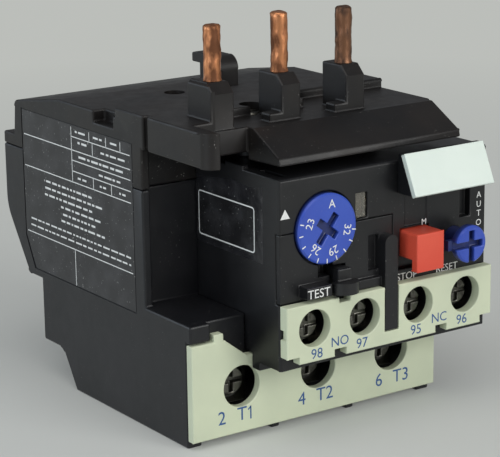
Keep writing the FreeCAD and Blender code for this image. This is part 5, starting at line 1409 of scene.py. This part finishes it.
@dataclass
class SealTape:
    """The seal over the module's left joint: black film with a white rounded frame.

    Places are in millimetres back and up from the relay's corner, heights of faces in
    millimetres out from the module's left wall.
    """

    front: float = -1.6
    back: float = 13.6
    bottom: float = 28.0
    top: float = 35.5
    corner: float = 0.9
    corner_steps: int = 6
    tape_face: float = 0.046
    tape_deep: float = 0.03
    frame_face: float = 0.062
    frame_deep: float = 0.014
    frame_mm: float = 0.2
    inset_mm: float = 0.35
    film_front: float = -3.3
    film_bottom: float = 27.2
    film_top: float = 38.8
    film_past: float = 0.2
    film_deep: float = 0.016
    film_cuts: tuple[float, ...] = (0.2, 0.45, 0.7, 0.85)
    wave_mm: float = 0.35
    wave_turn: float = 9.0
    fall_mm: float = 0.9
    along: float = 0.9

    @staticmethod
    def wall(datum: Datum) -> float:
        """Give the X of the module's left wall, in millimetres from the relay's corner."""
        return (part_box("module_housing")[0].x - datum.corner.x) / MM

    def plate(self, name: str, datum: Datum, grow: float, face: float, deep: float) -> bpy.types.Object:
        """Model one round-cornered layer on the module's left face.

        Args:
            name: The layer's name.
            datum: The relay's corner.
            grow: How far it stands out all round, in millimetres.
            face: Its outer face, in millimetres out from the module's wall.
            deep: Its thickness, in millimetres.

        Returns:
            The layer.
        """
        near = self.wall(datum) - face
        low = datum.at(near, self.front - grow, self.bottom - grow)
        high = datum.at(near + deep, self.back + grow, self.top + grow)
        plate = Hand.block(name, low, high)

        def across(edge: bmesh.types.BMEdge) -> bool:
            """Tell whether an edge runs along X."""
            return abs((edge.verts[0].co - edge.verts[1].co).normalized().x) > self.along

        Hand.edit(plate)
        Hand.pick_edges(plate, across)
        bpy.ops.mesh.bevel(offset=(self.corner + grow) * MM, segments=self.corner_steps, affect="EDGES")
        Hand.close()
        return plate

    def clear_film(self, datum: Datum) -> bpy.types.Object:
        """Model the clear film under the seal, with its uneven upper edge.

        Args:
            datum: The relay's corner.

        Returns:
            The film.
        """
        far = self.wall(datum) - INK_LIFT
        low = datum.at(far - self.film_deep, self.film_front, self.film_bottom)
        high = datum.at(far, self.back + self.film_past, self.film_top)
        film = Hand.slab("seal_clear_film", low, high)
        Hand.edit(film, "SELECT")
        for share in self.film_cuts:
            bpy.ops.mesh.bisect(plane_co=low.lerp(high, share), plane_no=(0, 1, 0))
            bpy.ops.mesh.select_all(action="SELECT")
        mesh = bmesh.from_edit_mesh(film.data)
        for vert in mesh.verts:
            if vert.co.z > (low.z + high.z) / 2:
                share = (vert.co.y - low.y) / (high.y - low.y)
                wave = self.wave_mm * (1 + math.sin(self.wave_turn * share))
                vert.co.z -= (wave + self.fall_mm * share) * MM
        bmesh.update_edit_mesh(film.data)
        Hand.close()
        return film

    def frame_line(self, datum: Datum) -> bpy.types.Object:
        """Model the printed frame as a ring left by an inset.

        Args:
            datum: The relay's corner.

        Returns:
            The frame.
        """
        ring = self.plate("seal_frame", datum, -self.inset_mm, self.frame_face, self.frame_deep)
        Hand.edit(ring)
        Hand.pick_faces(ring, lambda face: abs(face.normal.x) > self.along)
        bpy.ops.mesh.inset(thickness=self.frame_mm * MM)
        bpy.ops.mesh.bridge_edge_loops()
        Hand.close_outwards()
        return ring

    def build(self, paints: Paints, datum: Datum) -> None:
        """Model the seal.

        Args:
            paints: The finishes.
            datum: The relay's corner.
        """
        tape = self.plate("seal_tape", datum, 0.0, self.tape_face, self.tape_deep)
        black = PrintedFilm("seal_film", (0.012, 0.012, 0.013), 0.22, 0.05).material()
        paints.finish(tape, black, Slot.MODULE)
        clear = PrintedFilm("clear_film", (0.012, 0.012, 0.014), 0.18, 0.09).material()
        paints.finish(self.clear_film(datum), clear, Slot.MODULE)
        paints.finish(self.frame_line(datum), paints.inks[Ink.WHITE], Slot.MODULE)
        LOG.info("seal tape")


# ---------------------------------------------------------------- inner parts


def slot_of(node: bpy.types.Object) -> Slot:
    """Give the slot that a CAD node carries."""
    return Slot(node.data.materials[0].name.split(".")[0])


@dataclass
class ButtonSprings:
    """The coil springs behind the key and the two buttons."""

    facet: float = 60.0

    def build(self, paints: Paints) -> None:
        """Model each spring from a merged copy of its CAD node, shaded smooth.

        Args:
            paints: The finishes.
        """
        for joint in frame["record"]["behaviour"]["joints"]:
            for entry in joint.get("deforming_nodes", []):
                name, seat = entry["node"], entry["fixed_end_y_m"]
                source = frame["nodes"][name]
                slot = slot_of(source)
                spring = Hand.node_copy(name, "coil_" + name)
                Hand.close()
                Hand.smooth(spring, self.facet)
                paints.finish(spring, paints.slots[slot], slot, source["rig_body"], name)
                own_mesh(spring)


class InnerParts:
    """The parts inside, which keep their CAD shape and get their own finish."""

    @staticmethod
    def build(paints: Paints) -> None:
        """Dress every CAD node that nothing stands for.

        Args:
            paints: The finishes.
        """
        for name, node in frame["nodes"].items():
            if not node.hide_render:
                slot = slot_of(node)
                paints.coat(node, paints.slots[slot])
                LOG.info("inner part %s", name)


# ---------------------------------------------------------------- studio


@dataclass(frozen=True)
class Lamp:
    """One square soft lamp: its place and side in metres, its power in watts."""

    name: str
    place: Point
    side: float
    power: float
    tint: Colour

    def hang(self, target: Vector) -> None:
        """Hang the lamp so that it looks at a place.

        Args:
            target: The place.
        """
        data = bpy.data.lights.new(self.name, "AREA")
        data.size = self.side
        data.energy = self.power
        data.color = self.tint
        lamp = bpy.data.objects.new(self.name, data)
        bpy.context.scene.collection.objects.link(lamp)
        lamp.location = self.place
        lamp.rotation_euler = (target - Vector(self.place)).to_track_quat("-Z", "Y").to_euler()


@dataclass
class Studio:
    """Pale floor, soft lamps and the camera."""

    eye: Point = (-170.79, -249.23, 105.18)
    right: Point = (0.82156, -0.56995, -0.01362)
    up: Point = (0.15690, 0.20307, 0.96651)
    look: Point = (0.5481, 0.79619, -0.25626)
    lens: float = 143.8
    sensor_mm: float = 36.0
    nearest: float = 0.01
    floor_half: float = 3.0
    floor_cloud_mm: float = 260.0
    floor_tints: tuple[Colour, Colour] = ((0.66, 0.68, 0.66), (0.70, 0.72, 0.70))
    floor_roughness: float = 0.7
    fade: tuple[float, float] = (0.04, 0.30)
    fade_least: float = 0.20
    wall: Colour = (0.50, 0.515, 0.49)
    fill: Colour = (0.93, 0.96, 1.0)
    fill_strength: float = 0.2
    lit_height: float = 0.03
    lamps: tuple[Lamp, ...] = (
        Lamp("top_lamp", (-0.20, -0.20, 0.62), 0.55, 1.5, (1.0, 0.98, 0.95)),
        Lamp("window_lamp", (-0.80, 0.75, 0.22), 0.7, 3.0, (0.78, 0.89, 1.0)),
        Lamp("left_lamp", (-0.75, -0.20, 0.16), 0.5, 2.0, (0.84, 0.92, 1.0)),
        Lamp("front_lamp", (0.22, -0.80, 0.34), 0.5, 4.0, (1.0, 1.0, 0.98)),
    )

    def camera(self) -> None:
        """Place the camera."""
        data = bpy.data.cameras.new("camera")
        data.lens = self.lens
        data.sensor_width = self.sensor_mm
        data.clip_start = self.nearest
        camera = bpy.data.objects.new("camera", data)
        bpy.context.scene.collection.objects.link(camera)
        columns = (Vector(self.right), Vector(self.up), -Vector(self.look))
        turn = Matrix(columns).transposed().to_4x4()
        camera.matrix_world = Matrix.Translation(Vector(self.eye) * MM) @ turn
        bpy.context.scene.camera = camera

    def floor(self) -> None:
        """Lay the pale floor, which fades into an even pale wall away from the relay."""
        floor = Hand.start(bpy.ops.mesh.primitive_plane_add, "floor", size=2 * self.floor_half)
        bench = MaterialBench("floor")
        tone = bench.blend(bench.noise(self.floor_cloud_mm), *self.floor_tints)
        lit = bench.shader(Base_Color=tone, Roughness=self.floor_roughness)
        length = {"operation": "LENGTH"}
        away = bench.wire("ShaderNodeVectorMath", length, {0: bench.place()}, "Value")
        seen = bench.wire("ShaderNodeLightPath", {}, {}, "Is Camera Ray")
        glossy = bench.wire("ShaderNodeLightPath", {}, {}, "Is Glossy Ray")
        faded = away.over(*self.fade) * (1 - self.fade_least) + self.fade_least
        share = faded * (seen + glossy)
        glow = {"Color": (*self.wall, 1.0), "Strength": 1.0}
        pale = bench.wire("ShaderNodeEmission", {}, glow, "Emission")
        mix = bench.wire("ShaderNodeMixShader", {}, {0: share, 1: lit, 2: pale}, "Shader")
        Paints.coat(floor, bench.close(mix))

    def world(self) -> None:
        """Fill the room with pale light, and show it as a pale wall."""
        bench = MaterialBench("room", "worlds")
        seen, fill = (
            bench.wire("ShaderNodeBackground", {}, {"Color": (*tint, 1.0), "Strength": strength}, 0)
            for tint, strength in ((self.wall, 1.0), (self.fill, self.fill_strength))
        )
        direct = bench.wire("ShaderNodeLightPath", {}, {}, "Is Camera Ray")
        mix = bench.wire("ShaderNodeMixShader", {}, {0: direct, 1: fill, 2: seen}, "Shader")
        bpy.context.scene.world = bench.close(mix, "ShaderNodeOutputWorld")

    def build(self) -> None:
        """Set up the whole studio."""
        self.camera()
        self.floor()
        self.world()
        for lamp in self.lamps:
            lamp.hang(Vector((0, 0, self.lit_height)))
        bpy.context.scene.view_settings.view_transform = "Standard"
        LOG.info("studio")


def main() -> None:
    """Dress the relay and set up the studio."""
    logging.basicConfig(level=logging.INFO)
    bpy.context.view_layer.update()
    datum = Datum()
    paints = Paints()
    Housing().build(paints)
    Terminals().build(paints)
    CopperPins().build(paints)
    SettingDial().build(paints, datum)
    Buttons().build(paints)
    CoverPrint().build(paints, datum)
    RatingLabel().build(paints, datum)
    SealTape().build(paints, datum)
    ButtonSprings().build(paints)
    InnerParts().build(paints)
    Studio().build()


if __name__ == "__main__":
    main()
